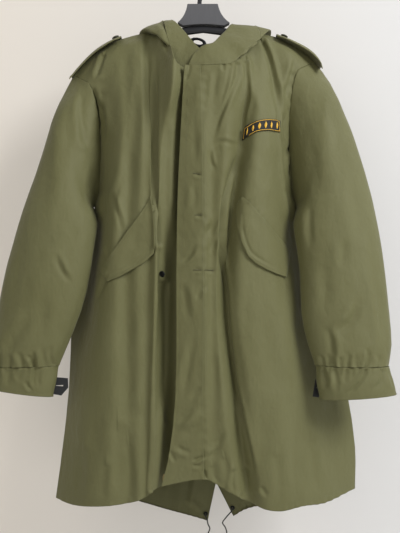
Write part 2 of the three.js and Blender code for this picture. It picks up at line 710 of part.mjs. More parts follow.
// Stations from the wearer's right at the throat, round the neck, to the left.
// Each gives the top edge it starts on and the hood's section: where the cloth
// sags under, where it turns up, the ridge and the edge of the opening. "open" is
// 0 where the band is sewn straight to the neck and 1 where hood lies between.
const NECK = table("panel fold way open sag turn ridge edge", [
  [frontRight, 0, 1, 0, [14, -76, -214], [14, -76, -214], [14, -76, -213], [6, -72, -178]],
  [frontRight, 1, 1, 0, [-14, -78, -213], [-14, -78, -213], [-14, -78, -213], [-2, -73.5, -172]],
  [frontRight, 2, 1, 0, [-47, -74, -200], [-48, -80, -198], [-45, -80, -200], [-17, -61, -152]],
  [frontRight, 3, 1, 1, [-68, -56, -158], [-73, -66, -154], [-65, -59, -145], [-33, -42, -127]],
  [backRight, 3, 1, 1, [-118, -5, -118.5], [-124.5, -6, -113.5], [-76, -8, -96.5], [-57, -14, -97]],
  [backRight, 4, 1, 1, [-112, 68, -176], [-128, 80, -164], [-94, 84, -112], [-70, 66, -105]],
  [backRight, 5, 1, 1, [-58, 104, -238], [-66, 126, -226], [-54, 134, -150], [-46, 112, -136]],
  [backLeft, 0, 1, 1, [2, 108, -262], [2, 134, -250], [0, 146, -160], [0, 126, -146]],
  [backLeft, 1, 1, 1, [62, 104, -236], [72, 126, -224], [62, 130, -146], [52, 110, -132]],
  [backLeft, 2, 1, 1, [118, 68, -170], [138, 80, -158], [114, 82, -112], [80, 62, -110]],
  [frontLeft, 6, -1, 1, [138, 3, -115], [153, 4, -112], [116, 0, -105], [67, -13, -105]],
  [frontLeft, 5, -1, 1, [104, -43, -151.5], [122, -46, -148], [124, -42, -141], [52, -35, -127]],
  [frontLeft, 4, -1, 1, [88, -74, -189.5], [94, -81.5, -185], [93, -79, -177], [41, -53, -143]],
  [frontLeft, 3, -1, 0, [64, -96, -209], [66, -98, -208], [66, -95, -207], [26, -73, -163]],
  [frontLeft, 2, -1, 0, [30, -94, -213], [30, -94, -213], [30, -94, -212], [12, -78, -168]],
  [frontLeft, 1, -1, 0, [2, -93, -213], [2, -93, -213], [2, -93, -213], [3, -78, -172]],
  [frontLeft, 0, -1, 0, [-22, -91, -213], [-22, -91, -213], [-22, -91, -213], [-4, -77, -177]],
]);
// Rows of the sections: the hood's first and last, and the seam of its halves.
const HOOD_ROWS = { first: 3 * FOLD_STEPS - 1, centre: 7 * FOLD_STEPS, last: 12 * FOLD_STEPS + 1 };

// Lays a section's sag and turn between its seam and its ridge, where the hood
// runs out into the band's seam.
function flattenSection(seam, { sag, turn, ridge }) {
  sag.lerpVectors(seam, ridge, 1 / 3);
  turn.lerpVectors(seam, ridge, 2 / 3);
}

// The neck seam and the hood's section at every station and between them.
function neckSections() {
  const curveOf = (key) => curveThrough(NECK.map((row) => vector(row[key])));
  const keys = ["sag", "turn", "ridge", "edge"];
  const curves = Object.fromEntries(keys.map((key) => [key, curveOf(key)]));
  const last = NECK.length - 1;
  return Array.from({ length: last * FOLD_STEPS + 1 }, (_, i) => {
    const station = Math.min(Math.floor(i / FOLD_STEPS), last - 1);
    const { panel, fold, way, open } = NECK[station];
    const part = i / FOLD_STEPS - station;
    const column = Math.round((fold + way * part) * FOLD_STEPS);
    const seam = panel.outer[0][column].clone();
    seam.z += SEAM_GAP;
    const at = Object.fromEntries(
      Object.entries(curves).map(([key, curve]) => [key, curve.getPoint(i / (last * FOLD_STEPS))]),
    );
    const opened = THREE.MathUtils.lerp(open, NECK[station + 1].open, part);
    [at.sag, at.turn, at.ridge].forEach((point) => point.lerpVectors(seam, point, opened));
    if (opened < 1) flattenSection(seam, at);
    return { seam, through: panel.inward[0][column], opened, ...at };
  });
}

// The way through the wall at the ridge, between the hood below and the band above.
function ridgeDirection({ turn, ridge, edge }) {
  const back = turn.clone().sub(ridge).normalize();
  const on = edge.clone().sub(ridge).normalize();
  const axis = new THREE.Vector3(0, ridge.y * 0.3, -230);
  const inwards = axis.sub(ridge).normalize();
  const bisector = back.add(on);
  if (bisector.dot(inwards) < 0) return inwards;
  return bisector.add(inwards.multiplyScalar(0.5)).normalize();
}

const sections = neckSections();

// The hood, in two halves sewn together down its middle.
function hood() {
  const { first, centre, last: end } = HOOD_ROWS;
  const part = sections.slice(first, end + 1);
  const grid = part.map(({ seam, sag, turn, ridge }) => {
    const curve = curveThrough([seam, sag, turn, ridge]);
    const spans = HOOD_STEPS.length;
    const stops = HOOD_STEPS.flatMap((count, span) =>
      Array.from({ length: count }, (_, i) => (span + i / count) / spans),
    ).concat(1);
    return stops.map((stop) => curve.getPoint(stop));
  });
  const inside = (point, i) => part[i].sag.clone().add(part[i].edge).multiplyScalar(0.5);
  const inward = inwardDirections(grid, inside, false);
  const last = grid[0].length - 1;
  const outer = grid.map((row) => row.map((point) => point.clone()));
  part.forEach((section, i) => {
    inward[i][last] = ridgeDirection(section);
    outer[i][last] = backFromSeam(grid[i][last], grid[i][last - 1], SEAM_GAP);
  });
  const onRidge = (i, j) => j === last;
  comb(outer, inward, onRidge);
  thinBetweenLayers(outer, inward, onRidge);
  const addHalf = (name, from, to, seam, beside) => {
    const rows = outer.slice(from, to + 1);
    rows[seam - from] = outer[seam].map((point, j) => backFromSeam(point, outer[beside][j]));
    addPiece(name, wallGeometry(rows, inward.slice(from, to + 1), WALL), OLIVE);
  };
  const middle = centre - first;
  addHalf("hood_right", 0, middle, middle, middle - 1);
  addHalf("hood_left", middle, outer.length - 1, middle, middle + 1);
}

function hoodBand() {
  const bow = new THREE.Vector3();
  const grid = sections.map(({ ridge, edge }) =>
    Array.from({ length: BAND_STEPS + 1 }, (_, i) => {
      const part = i / BAND_STEPS;
      const outwards = bow.set(ridge.x - 8, ridge.y, 40).setLength(BAND_BOW * Math.sin(Math.PI * part));
      return ridge.clone().lerp(edge, part).add(outwards);
    }),
  );
  const inside = (point, i) => new THREE.Vector3(0, 0, grid[i][0].z - 20);
  const inward = inwardDirections(grid, inside, false);
  const outer = grid.map((row) => row.map((point) => point.clone()));
  sections.forEach((section, i) => {
    inward[i][0] = section.opened > 0 ? ridgeDirection(section) : section.through;
    if (section.opened > 0) outer[i][0] = backFromSeam(grid[i][0], grid[i][1]);
  });
  addPiece("hood_band", wallGeometry(outer, inward, BAND_WALL), OLIVE);
}

hood();
hoodBand();

// ------------------------------------------------------ what lies on the fronts

function movedOut(grid, inward, lift) {
  return grid.map((row, i) =>
    row.map((point, j) => point.clone().addScaledVector(inward[i][j], -lift(j))),
  );
}

// The storm flap covers the zip: it follows the left front from beyond its edge
// to the ridge where it is sewn.
function stormFlap() {
  const columns = [0, 1, 2, FOLD_STEPS];
  const grid = frontLeft.grid.map((row) => {
    const beyond = row[0].clone().add(row[0].clone().sub(row[1]).setLength(STORM_FLAP_BEYOND));
    return [beyond, ...columns.map((j) => row[j])];
  });
  const inward = frontLeft.inward.map((row) => [row[0], ...columns.map((j) => row[j])]);
  const lift = (j) => STORM_FLAP_LIFT[j] + FLAP_WALL;
  addPiece("storm_flap", wallGeometry(movedOut(grid, inward, lift), inward, FLAP_WALL), OLIVE);
}

// Draws a lying grid taut over the hollows under it.
function stretchOver(grid) {
  for (let pass = 0; pass < 6; pass += 1) {
    grid.forEach((row, i) =>
      row.forEach((point, j) => {
        const pairs = [[grid[i - 1]?.[j], grid[i + 1]?.[j]], [row[j - 1], row[j + 1]]];
        pairs.filter(([a, b]) => a && b).forEach(([a, b]) => {
          point.y = Math.min(point.y, (a.y + b.y) / 2);
        });
      }),
    );
  }
}

// Brings a lying grid forward wherever the panel comes through between its points.
function clearPanel(grid, panel) {
  const parts = [0.25, 0.5, 0.75];
  for (let i = 0; i < grid.length - 1; i += 1) {
    for (let j = 0; j < grid[0].length - 1; j += 1) {
      const corners = [grid[i][j], grid[i + 1][j], grid[i][j + 1], grid[i + 1][j + 1]];
      parts.forEach((down) =>
        parts.forEach((along) => {
          const sewn = corners[0].clone().lerp(corners[1], down);
          const free = corners[2].clone().lerp(corners[3], down);
          const middle = sewn.lerp(free, along);
          const buried = middle.y - panel.project(middle.x, middle.z).point.y;
          if (buried > 0) corners.forEach((corner) => (corner.y -= buried));
        }),
      );
    }
  }
}

// A piece lying on a panel, stretched over its hollows, between two edge lines.
function lyingPiece(name, panel, edges, { across, wall, lift, color }) {
  const line = (edge) => curveThrough(edge.map(([x, z]) => new THREE.Vector3(x, 0, z)));
  const sewn = line(edges.map((row) => row.sewn));
  const free = line(edges.map((row) => row.free));
  const along = (edges.length - 1) * 2;
  const grid = Array.from({ length: along + 1 }, (_, i) =>
    Array.from({ length: across + 1 }, (_, j) => {
      const { x, z } = sewn.getPoint(i / along).lerp(free.getPoint(i / along), j / across);
      return panel.project(x, z).point;
    }),
  );
  stretchOver(grid);
  clearPanel(grid, panel);
  const inside = (point) => new THREE.Vector3(point.x, 0, point.z);
  const inward = inwardDirections(grid, inside, false);
  const outer = movedOut(grid, inward, (j) => wall + (j === 0 ? lift.sewn : lift.free));
  addPiece(name, wallGeometry(outer, inward, wall), color);
}

stormFlap();
const flapShape = { across: 4, wall: FLAP_WALL, lift: { sewn: 0.8, free: 1.6 }, color: OLIVE };
lyingPiece("pocket_flap_right", frontRight, POCKET_FLAP_RIGHT, flapShape);
lyingPiece("pocket_flap_left", frontLeft, POCKET_FLAP_LEFT, flapShape);
lyingPiece("chest_patch", frontLeft, PATCH, {
  across: 2, wall: PATCH_WALL, lift: { sewn: 0.6, free: 0.6 }, color: BLACK,
});

// -------------------------------------------------------------- shoulder loops

const UP = new THREE.Vector3(0, 1, 0); // the axis discs and rings are made along

// A disc standing on a surface at a point, along the way out of the surface.
function discGeometry(point, out, { radius, height, lift }) {
  const geometry = new THREE.CylinderGeometry(radius, radius, height, DISC_SIDES);
  geometry.applyQuaternion(new THREE.Quaternion().setFromUnitVectors(UP, out));
  const centre = point.clone().addScaledVector(out, lift + height / 2);
  return geometry.translate(centre.x, centre.y, centre.z);
}

function shoulderLoop(side, spine) {
  const centre = curveThrough(spine.map(({ x, z, droop }) => new THREE.Vector3(x, droop, z)));
  const alongSteps = 10;
  const acrossSteps = 4;
  const grid = Array.from({ length: alongSteps + 1 }, (_, i) => {
    const { x, y: droop, z } = centre.getPoint(i / alongSteps);
    const width = i === alongSteps ? STRAP_TIP_WIDTH : STRAP_WIDTH;
    return Array.from({ length: acrossSteps + 1 }, (__, j) => {
      const across = (2 * j) / acrossSteps - 1;
      return new THREE.Vector3(x, (across * width) / 2, z - droop * across ** 2);
    });
  });
  const inside = (point) => new THREE.Vector3(point.x * 0.7, 0, -400);
  const inward = inwardDirections(grid, inside, false);
  addPiece(`shoulder_loop_${side}`, wallGeometry(grid, inward, STRAP_WALL), OLIVE);
  const seat = grid[alongSteps - 1][acrossSteps / 2];
  const out = inward[alongSteps - 1][acrossSteps / 2].clone().negate();
  const button = discGeometry(seat, out, BUTTON);
  addPiece(`shoulder_button_${side}`, button, OLIVE_DARK, 0.5);
}

shoulderLoop("right", STRAP_RIGHT);
shoulderLoop("left", STRAP_LEFT);

// -------------------------------------------------------- zip, stud and eyelets

// A zip tape sewn behind a front's first edge and standing past it.
function zipTape(name, panel) {
  const rows = panel.grid.slice(1, -1);
  const depth = WALL + 2 * SEAM_GAP;
  const inward = panel.inward.slice(1, -1).map((row) => [row[0], row[0]]);
  const grid = rows.map((row, i) => {
    const out = row[0].clone().sub(row[1]).normalize();
    const beyond = row[0].clone().addScaledVector(out, TAPE.beyond);
    const under = row[0].clone().addScaledVector(out, -TAPE.under);
    return [beyond, under].map((point, j) => point.addScaledVector(inward[i][j], depth));
  });
  addPiece(name, wallGeometry(grid, inward, TAPE.wall), OLIVE_DARK);
  return grid.at(-1)[0];
}

zipTape("zip_tape_right", frontRight);
const zipEnd = zipTape("zip_tape_left", frontLeft);

const zipBox = new THREE.BoxGeometry(ZIP_BOX.width, ZIP_BOX.depth, ZIP_BOX.height);
zipBox.translate(
  zipEnd.x + ZIP_BOX.aside,
  zipEnd.y + ZIP_BOX.depth / 2,
  zipEnd.z - ZIP_BOX.height / 2 - ZIP_BOX.drop,
);
addPiece("zip_box", zipBox, BRASS, 0.4, 0.8);

const snapSeat = frontRight.project(SNAP.x, SNAP.z);
const snap = discGeometry(snapSeat.point, snapSeat.normal, SNAP);
addPiece("snap_stud", snap, BLACK, 0.4, 0.6);

// A ring on the inner face of a tail, where its drawcord comes out.
function eyelet(name, panel, x, z) {
  const { point, normal } = panel.project(x, z);
  const profile = [
    [EYELET.hole, 0], [EYELET.rim, 0], [EYELET.shoulder, EYELET.height],
    [EYELET.hole, EYELET.height], [EYELET.hole, 0],
  ];
  const ring = new THREE.LatheGeometry(profile.map(([r, h]) => new THREE.Vector2(r, h)), DISC_SIDES);
  ring.applyQuaternion(new THREE.Quaternion().setFromUnitVectors(UP, normal));
  const seat = point.addScaledVector(normal, WALL + 2 * SEAM_GAP);
  ring.translate(seat.x, seat.y, seat.z);
  addPiece(name, ring, BLACK, 0.4, 0.7);
}

eyelet("hem_eyelet_right", backRight, 13, -1147);
eyelet("hem_eyelet_left", backLeft, 72.5, -1134);

// ------------------------------------------------------------------- drawcords

function cord(side, route) {
  const path = curveThrough(route.map(vector));
  const section = new THREE.Shape();
  for (let i = 0; i < CORD.sides; i += 1) {
    const turn = (2 * Math.PI * i) / CORD.sides;
    const [x, y] = [CORD.radius * Math.cos(turn), CORD.radius * Math.sin(turn)];
    if (i === 0) section.moveTo(x, y);
    else section.lineTo(x, y);
  }
  const steps = Math.round(path.getLength() / CORD.spacing);
  const tube = new THREE.ExtrudeGeometry(section, { steps, bevelEnabled: false, extrudePath: path });
  addPiece(`hem_cord_${side}`, tube, OLIVE_DARK);
  const knot = new THREE.SphereGeometry(KNOT_RADIUS, 10, 8);
  const [x, y, z] = route.at(-1);
  knot.translate(x, y, z - KNOT_RADIUS - SEAM_GAP);
  addPiece(`hem_knot_${side}`, knot, OLIVE_DARK);
}

cord("right", CORD_RIGHT_ROUTE);
cord("left", CORD_LEFT_ROUTE);

// -------------------------------------------------------------------- cuff tabs

const TAB_CORNERS = [[-7, -33.5], [5.5, -36.5], [19, -21], [18.5, -2], [0, 0]];
const TAB_SLOT = [[0, -16.2], [9, -15.4], [9, -18.4], [0, -17.2]];

// A tab standing past a cuff's inner edge, with its buttonhole along the middle.
function cuffTab(side, corner, turn) {
  const outline = new THREE.Shape(TAB_CORNERS.map(([x, z]) => new THREE.Vector2(x, z)));
  outline.holes.push(new THREE.Path(TAB_SLOT.map(([x, z]) => new THREE.Vector2(x, z))));
  const tab = new THREE.ExtrudeGeometry(outline, { depth: TAB_WALL, bevelEnabled: false });
  tab.translate(0, 0, -TAB_WALL / 2);
  tab.rotateX(Math.PI / 2);
  tab.rotateZ(turn);
  tab.translate(...corner);
  addPiece(`cuff_tab_${side}`, tab, BLACK);
}

cuffTab("right", [-281.8, -57, -827.5], 0);
cuffTab("left", [230, -74, -829], THREE.MathUtils.degToRad(32));

// The hanging loop sewn inside the back of the neck.
function hangLoop() {
  const loop = new THREE.TorusGeometry(LOOP.radius, LOOP.wire, 6, 20);
  loop.rotateX(Math.PI / 2);
  loop.scale(LOOP.stretch, 1, LOOP.flatten);
  loop.rotateY(THREE.MathUtils.degToRad(LOOP.tilt));
  loop.translate(LOOP.x, LOOP.y, LOOP.z);
  addPiece("hang_loop", loop, BLACK);
}

hangLoop();

// ---------------------------------------------------------------------- hanger

// A closed solid through rings of equal size, capped at both ends.
function loftSolid(rings) {
  const count = rings[0].length;
  const points = rings.flat();
  const at = (i, j) => i * count + (j % count);
  const faces = [];
  for (let i = 0; i < rings.length - 1; i += 1) {
    for (let j = 0; j < count; j += 1) {
      faces.push(at(i, j), at(i + 1, j), at(i + 1, j + 1));
      faces.push(at(i, j), at(i + 1, j + 1), at(i, j + 1));
    }
  }
  const last = rings.length - 1;
  for (let j = 1; j < count - 1; j += 1) {
    faces.push(at(0, 0), at(0, j), at(0, j + 1));
    faces.push(at(last, 0), at(last, j + 1), at(last, j));
  }
  return closedGeometry(points, faces);
}

// Half the arms' section from the top down: out from the middle, and the drop, as
// parts of its height.
const ARM_SECTION = [[0.06, 0], [0.25, 0.3], [0.38, 0.62], [0.3, 1]];

// The arms: a ridge-topped section that widens under the shoulders of the coat.
function hangerArms() {
  const rings = ARM.map(({ x, top, height }) => {
    const front = ARM_SECTION.map(([y, drop]) => new THREE.Vector3(x, -y * height, top - drop * height));
    const back = front.map((point) => new THREE.Vector3(x, -point.y, point.z)).reverse();
    return [...front, ...back];
  });
  addPiece("hanger_arms", loftSolid(rings), BLACK, 0.5);
}

// The head plate: flared sides over an arched lower edge.
const HEAD = { halfDepth: 8, top: -62, topLeft: -25, topRight: 38, low: -105.5 };

function hangerHead() {
  const { halfDepth, top, topLeft, topRight, low } = HEAD;
  const outline = new THREE.Shape();
  outline.moveTo(topLeft, top);
  outline.quadraticCurveTo(-29, -88, -46, -101);
  outline.lineTo(-34, -108);
  outline.quadraticCurveTo(8, low + 4, 51, -108);
  outline.lineTo(63, -101);
  outline.quadraticCurveTo(43, -88, topRight, top);
  outline.closePath();
  const plate = new THREE.ExtrudeGeometry(outline, {
    depth: 2 * halfDepth, bevelEnabled: false, curveSegments: 8,
  });
  plate.rotateX(Math.PI / 2);
  plate.translate(0, halfDepth, 0);
  addPiece("hanger_head", plate, GREY, 0.45);
}

// Corners of the hook's bar, as parts of half its width and depth.
const HOOK_SECTION = [
  [1, 0.5], [0.7, 1], [-0.7, 1], [-1, 0.5], [-1, -0.5], [-0.7, -1], [0.7, -1], [1, -0.5],
];

// The hook: a flat bar up from the head and round over the rail.
function hangerHook() {
  const radius = HOOK.innerRadius + HOOK.width / 2;
  const arcPoints = 13;
  const arc = Array.from({ length: arcPoints }, (_, i) => {
    const turn = THREE.MathUtils.degToRad(HOOK.from + (i * HOOK.sweep) / (arcPoints - 1));
    return new THREE.Vector3(radius * Math.cos(turn), 0, radius * Math.sin(turn) - HOOK.innerRadius);
  });
  const shank = [new THREE.Vector3(0, 0, HEAD.top + SEAM_GAP), new THREE.Vector3(1, 0, -50)];
  const path = curveThrough([...shank, ...arc]);
  const rings = Array.from({ length: HOOK.steps + 1 }, (_, i) => {
    const point = path.getPoint(i / HOOK.steps);
    const along = i === 0 ? new THREE.Vector3(0, 0, 1) : path.getTangent(i / HOOK.steps);
    const side = new THREE.Vector3(along.z, 0, -along.x);
    return HOOK_SECTION.map(([u, v]) => {
      const corner = point.clone().addScaledVector(side, (u * HOOK.width) / 2);
      corner.y += (v * HOOK.depth) / 2;
      return corner;
    });
  });
  addPiece("hanger_hook", loftSolid(rings), BLACK, 0.5);
}

hangerArms();
hangerHead();
hangerHook();

export default parka;
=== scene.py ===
"""A fishtail parka hanging unfastened on its hanger: cloth, sewing, fittings and stage.

Run as a script. Metres, +Z up, the front faces -Y, and right and left are the
wearer's, so the right-hand pieces lie at -X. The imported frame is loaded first, and
every operator dresses some of its nodes.
"""

import json
import math

import bmesh
import bpy
import numpy as np
from mathutils import Matrix, Vector, noise
from mathutils.bvhtree import BVHTree
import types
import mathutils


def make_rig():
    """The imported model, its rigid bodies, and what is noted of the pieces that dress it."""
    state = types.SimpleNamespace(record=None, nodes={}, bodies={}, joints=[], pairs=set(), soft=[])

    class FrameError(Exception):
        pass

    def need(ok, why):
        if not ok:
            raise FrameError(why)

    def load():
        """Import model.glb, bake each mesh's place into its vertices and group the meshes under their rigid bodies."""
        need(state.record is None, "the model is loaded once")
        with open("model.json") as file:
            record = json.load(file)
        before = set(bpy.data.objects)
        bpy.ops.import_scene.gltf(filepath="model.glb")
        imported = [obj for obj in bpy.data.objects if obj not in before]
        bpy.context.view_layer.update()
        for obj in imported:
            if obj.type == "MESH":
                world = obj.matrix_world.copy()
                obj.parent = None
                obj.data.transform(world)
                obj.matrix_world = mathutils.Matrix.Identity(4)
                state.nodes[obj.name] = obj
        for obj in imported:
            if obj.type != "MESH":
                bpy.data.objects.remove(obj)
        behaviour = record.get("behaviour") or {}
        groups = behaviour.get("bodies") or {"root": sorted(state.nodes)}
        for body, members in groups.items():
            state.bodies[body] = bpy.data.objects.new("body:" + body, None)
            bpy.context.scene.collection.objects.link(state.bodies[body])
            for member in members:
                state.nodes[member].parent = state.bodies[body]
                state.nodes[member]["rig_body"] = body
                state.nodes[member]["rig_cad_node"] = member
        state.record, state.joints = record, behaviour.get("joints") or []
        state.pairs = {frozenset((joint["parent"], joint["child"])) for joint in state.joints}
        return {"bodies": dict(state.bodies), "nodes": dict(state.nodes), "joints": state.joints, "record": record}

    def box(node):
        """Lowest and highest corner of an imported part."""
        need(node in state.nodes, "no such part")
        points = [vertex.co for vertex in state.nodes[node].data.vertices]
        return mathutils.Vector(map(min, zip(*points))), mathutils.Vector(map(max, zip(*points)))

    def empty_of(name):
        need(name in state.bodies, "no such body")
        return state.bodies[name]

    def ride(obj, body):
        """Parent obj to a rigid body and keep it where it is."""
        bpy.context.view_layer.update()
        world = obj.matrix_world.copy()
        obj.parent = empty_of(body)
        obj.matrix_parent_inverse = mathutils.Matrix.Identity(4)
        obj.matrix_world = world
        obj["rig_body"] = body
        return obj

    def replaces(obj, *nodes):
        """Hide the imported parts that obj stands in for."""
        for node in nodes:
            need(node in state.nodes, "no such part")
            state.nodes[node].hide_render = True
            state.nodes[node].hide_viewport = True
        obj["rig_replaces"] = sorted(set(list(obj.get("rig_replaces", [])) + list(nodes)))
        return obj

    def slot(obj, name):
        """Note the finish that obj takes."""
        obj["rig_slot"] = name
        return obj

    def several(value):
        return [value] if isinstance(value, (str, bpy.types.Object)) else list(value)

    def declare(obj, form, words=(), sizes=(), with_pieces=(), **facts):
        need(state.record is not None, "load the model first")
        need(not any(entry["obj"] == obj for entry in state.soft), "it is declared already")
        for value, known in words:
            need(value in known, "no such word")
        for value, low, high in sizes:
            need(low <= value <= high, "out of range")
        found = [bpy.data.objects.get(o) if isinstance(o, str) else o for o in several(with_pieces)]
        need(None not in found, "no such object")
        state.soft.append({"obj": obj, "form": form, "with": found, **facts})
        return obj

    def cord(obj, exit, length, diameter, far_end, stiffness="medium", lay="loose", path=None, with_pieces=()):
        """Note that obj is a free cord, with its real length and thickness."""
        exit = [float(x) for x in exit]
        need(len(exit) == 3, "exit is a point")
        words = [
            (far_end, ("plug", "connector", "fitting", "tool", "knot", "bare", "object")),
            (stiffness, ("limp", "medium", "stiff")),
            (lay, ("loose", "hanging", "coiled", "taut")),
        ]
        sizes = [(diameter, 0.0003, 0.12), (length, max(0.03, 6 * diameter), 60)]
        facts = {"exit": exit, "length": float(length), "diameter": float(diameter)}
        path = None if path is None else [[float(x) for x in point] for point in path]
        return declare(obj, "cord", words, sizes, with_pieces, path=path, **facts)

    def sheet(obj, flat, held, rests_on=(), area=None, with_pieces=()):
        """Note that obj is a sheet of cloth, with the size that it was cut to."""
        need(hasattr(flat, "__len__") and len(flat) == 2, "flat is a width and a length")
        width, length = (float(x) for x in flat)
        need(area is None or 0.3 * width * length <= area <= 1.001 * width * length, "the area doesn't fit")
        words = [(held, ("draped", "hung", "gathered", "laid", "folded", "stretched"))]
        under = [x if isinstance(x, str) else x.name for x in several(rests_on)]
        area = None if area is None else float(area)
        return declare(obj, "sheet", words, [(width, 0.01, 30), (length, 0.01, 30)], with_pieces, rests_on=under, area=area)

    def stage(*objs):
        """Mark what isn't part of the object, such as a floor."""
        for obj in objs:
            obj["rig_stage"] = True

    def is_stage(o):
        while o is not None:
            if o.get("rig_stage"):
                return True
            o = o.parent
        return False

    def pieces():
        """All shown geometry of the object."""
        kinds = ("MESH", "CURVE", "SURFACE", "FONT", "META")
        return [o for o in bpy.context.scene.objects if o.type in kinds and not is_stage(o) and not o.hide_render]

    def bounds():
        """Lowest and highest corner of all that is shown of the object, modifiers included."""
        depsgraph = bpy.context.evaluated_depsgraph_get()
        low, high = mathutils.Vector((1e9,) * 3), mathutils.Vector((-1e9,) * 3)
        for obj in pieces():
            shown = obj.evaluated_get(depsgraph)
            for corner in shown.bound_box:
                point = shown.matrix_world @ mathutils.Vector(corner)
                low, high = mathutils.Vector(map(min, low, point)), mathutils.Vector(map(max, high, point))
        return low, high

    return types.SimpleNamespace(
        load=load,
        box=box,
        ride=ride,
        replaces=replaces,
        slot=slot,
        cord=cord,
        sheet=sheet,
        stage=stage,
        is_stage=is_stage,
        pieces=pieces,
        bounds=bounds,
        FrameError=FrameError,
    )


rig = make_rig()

bl_info = {
    "name": "Fishtail Parka on a Hanger",
    "version": (1, 0, 0),
    "blender": (4, 5, 0),
    "location": "View3D > Sidebar > Parka",
    "description": "Dresses a hanging parka with cloth, sewing and fittings",
    "category": "Add Mesh",
}

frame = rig.load()
CAD_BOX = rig.bounds()
MM = 0.001
INTO, OUT_OF, UP = Vector((0, 1, 0)), Vector((0, -1, 0)), Vector((0, 0, 1))


def value(word):
    """A table's word as a whole number, a number or itself."""
    for kind in (int, float):
        try:
            return kind(word)
        except ValueError:
            continue
    return word


def points(text):
    """Points written as words of numbers joined by commas."""
    return [tuple(map(value, word.split(","))) for word in text.split()]


def table(columns, text):
    """Rows of named values, one a line: words with commas are a route's points."""
    names = columns.split()
    rows = []
    for line in text.strip().splitlines():
        words = line.split()
        row = dict(zip(names, (value(word) for word in words if "," not in word)))
        row["route"] = points(" ".join(word for word in words if "," in word))
        rows.append(row)
    return rows


# ---- the sheets
# Each cloth piece: the wall of its solid in millimetres, the subdivision of its sheet,
# extra cuts down its length, the way its outer side faces, how uneven it is in metres
# ("-" is as the settings say), how it is held, the size and area its flat pattern is
# cut to, and what it rests on.

SHEETS = table(
    "node wall levels cuts faces uneven held width length area rests_on",
    """
front_right 2.0 3 1 front - hung 0.42 0.96 0.273 hanger_arms
front_left 2.0 3 1 front - hung 0.46 0.96 0.304 hanger_arms
back_right 2.0 3 0 back - hung 0.38 1.06 0.287 hanger_arms
back_left 2.0 3 0 back - hung 0.36 1.06 0.261 hanger_arms
sleeve_front_right 2.0 3 1 front - hung 0.23 0.64 0.107 front_right+hanger_arms
sleeve_back_right 2.0 3 1 back - hung 0.22 0.64 0.099 back_right+hanger_arms
sleeve_front_left 2.0 3 1 front - hung 0.24 0.66 0.116 front_left+hanger_arms
sleeve_back_left 2.0 3 1 back - hung 0.23 0.66 0.106 back_left+hanger_arms
cuff_right 3.0 3 1 round - stretched 0.33 0.056 0.0167 sleeve_front_right+sleeve_back_right
cuff_left 3.0 3 1 round - stretched 0.35 0.062 0.0203 sleeve_front_left+sleeve_back_left
hood_right 2.0 3 0 round - draped 0.25 0.30 0.039 back_right
hood_left 2.0 3 0 round - draped 0.25 0.30 0.040 back_left
hood_band 2.6 3 0 round 0.0006 stretched 0.56 0.06 0.0270 hood_right+hood_left
storm_flap 2.4 3 2 front - hung 0.06 0.84 0.0428 front_left
pocket_flap_right 2.4 3 0 front 0.0004 laid 0.18 0.07 0.0089 front_right
pocket_flap_left 2.4 3 0 front 0.0004 laid 0.19 0.09 0.0117 front_left
shoulder_loop_right 2.6 3 0 up 0.0003 laid 0.055 0.145 0.0069 front_right+back_right
shoulder_loop_left 2.6 3 0 up 0.0003 laid 0.055 0.13 0.0061 front_left+back_left
chest_patch 1.6 4 0 front 0.0002 stretched 0.08 0.034 0.0023 front_left
zip_tape_right 1.4 2 2 front 0.0 stretched 0.015 0.85 0.0109 front_right
zip_tape_left 1.4 2 2 front 0.0 stretched 0.015 0.85 0.0109 front_left
""",
)
SHEETS = {row["node"]: row for row in SHEETS}
WAYS = {"front": OUT_OF, "back": INTO, "up": UP, "round": None}

# ---- the creases
# One row for each crease, in millimetres as seen from the front: how wide and how deep
# its trough is, how high the ridge beside it stands (on the right going along it if
# positive, on the left if negative), which end it fades at if not at both, and its
# route from end to end as x,z.

CREASE = "width depth lip fade"

RIGHT_FRONT_CREASES = table(CREASE, """
5 6.5 3.6 start -86,-150 -87,-220 -88,-300 -89,-380 -87,-452 -80,-510 -77,-560
4.5 6 3.2 -80,-530 -77,-600 -78,-680 -80,-760 -84,-880
6 3.6 2.6 start -80,-760 -83,-860 -86,-960 -90,-1040
5 3 2 -73,-120 -68,-152 -60,-180 -52,-205
5 3 1.6 end -198,-176 -205,-200 -214,-228
5 2.4 -1.4 -220,-236 -213,-262 -205,-290
7 3.4 -2 -208,-258 -198,-301 -193,-356
5 2.2 -1.6 -183,-446 -167,-486 -156,-522 -154,-556
7 2 1.4 -147,-420 -165,-464 -175,-490
5 1.4 0.9 -183,-560 -182,-586
5 2.2 1.3 end -186,-628 -196,-652 -206,-676
7 1.6 1 end -104,-128 -106,-180 -101,-240
11 0.8 -0.8 -118,-134 -121,-200 -119,-290 -121,-380
13 0.8 0.6 -138,-180 -142,-280 -136,-370
15 1 -0.7 -160,-190 -167,-280 -158,-360
11 0.7 -0.5 -66,-240 -63,-320 -68,-420 -72,-500
6 1.4 1 -77,-636 -72,-672 -74,-720
14 2.2 1.6 -92,-820 -104,-864 -122,-916
16 1.8 -1.2 -130,-680 -148,-742 -166,-806
16 1.8 1.4 end -112,-900 -106,-960 -116,-1024
14 1.8 -1.4 end -160,-930 -158,-990 -164,-1056
16 1.8 1.2 -196,-860 -206,-940 -212,-1030
12 1.6 -1 end -234,-980 -240,-1030 -244,-1076
5 1.2 0.9 -62,-880 -66,-902 -55,-926
9 1.3 0.9 end -138,-960 -134,-1010 -137,-1060
9 1.2 -0.8 end -186,-1000 -190,-1040 -189,-1068
14 -5 0.1 -206,-450 -206,-484 -204,-516
""")

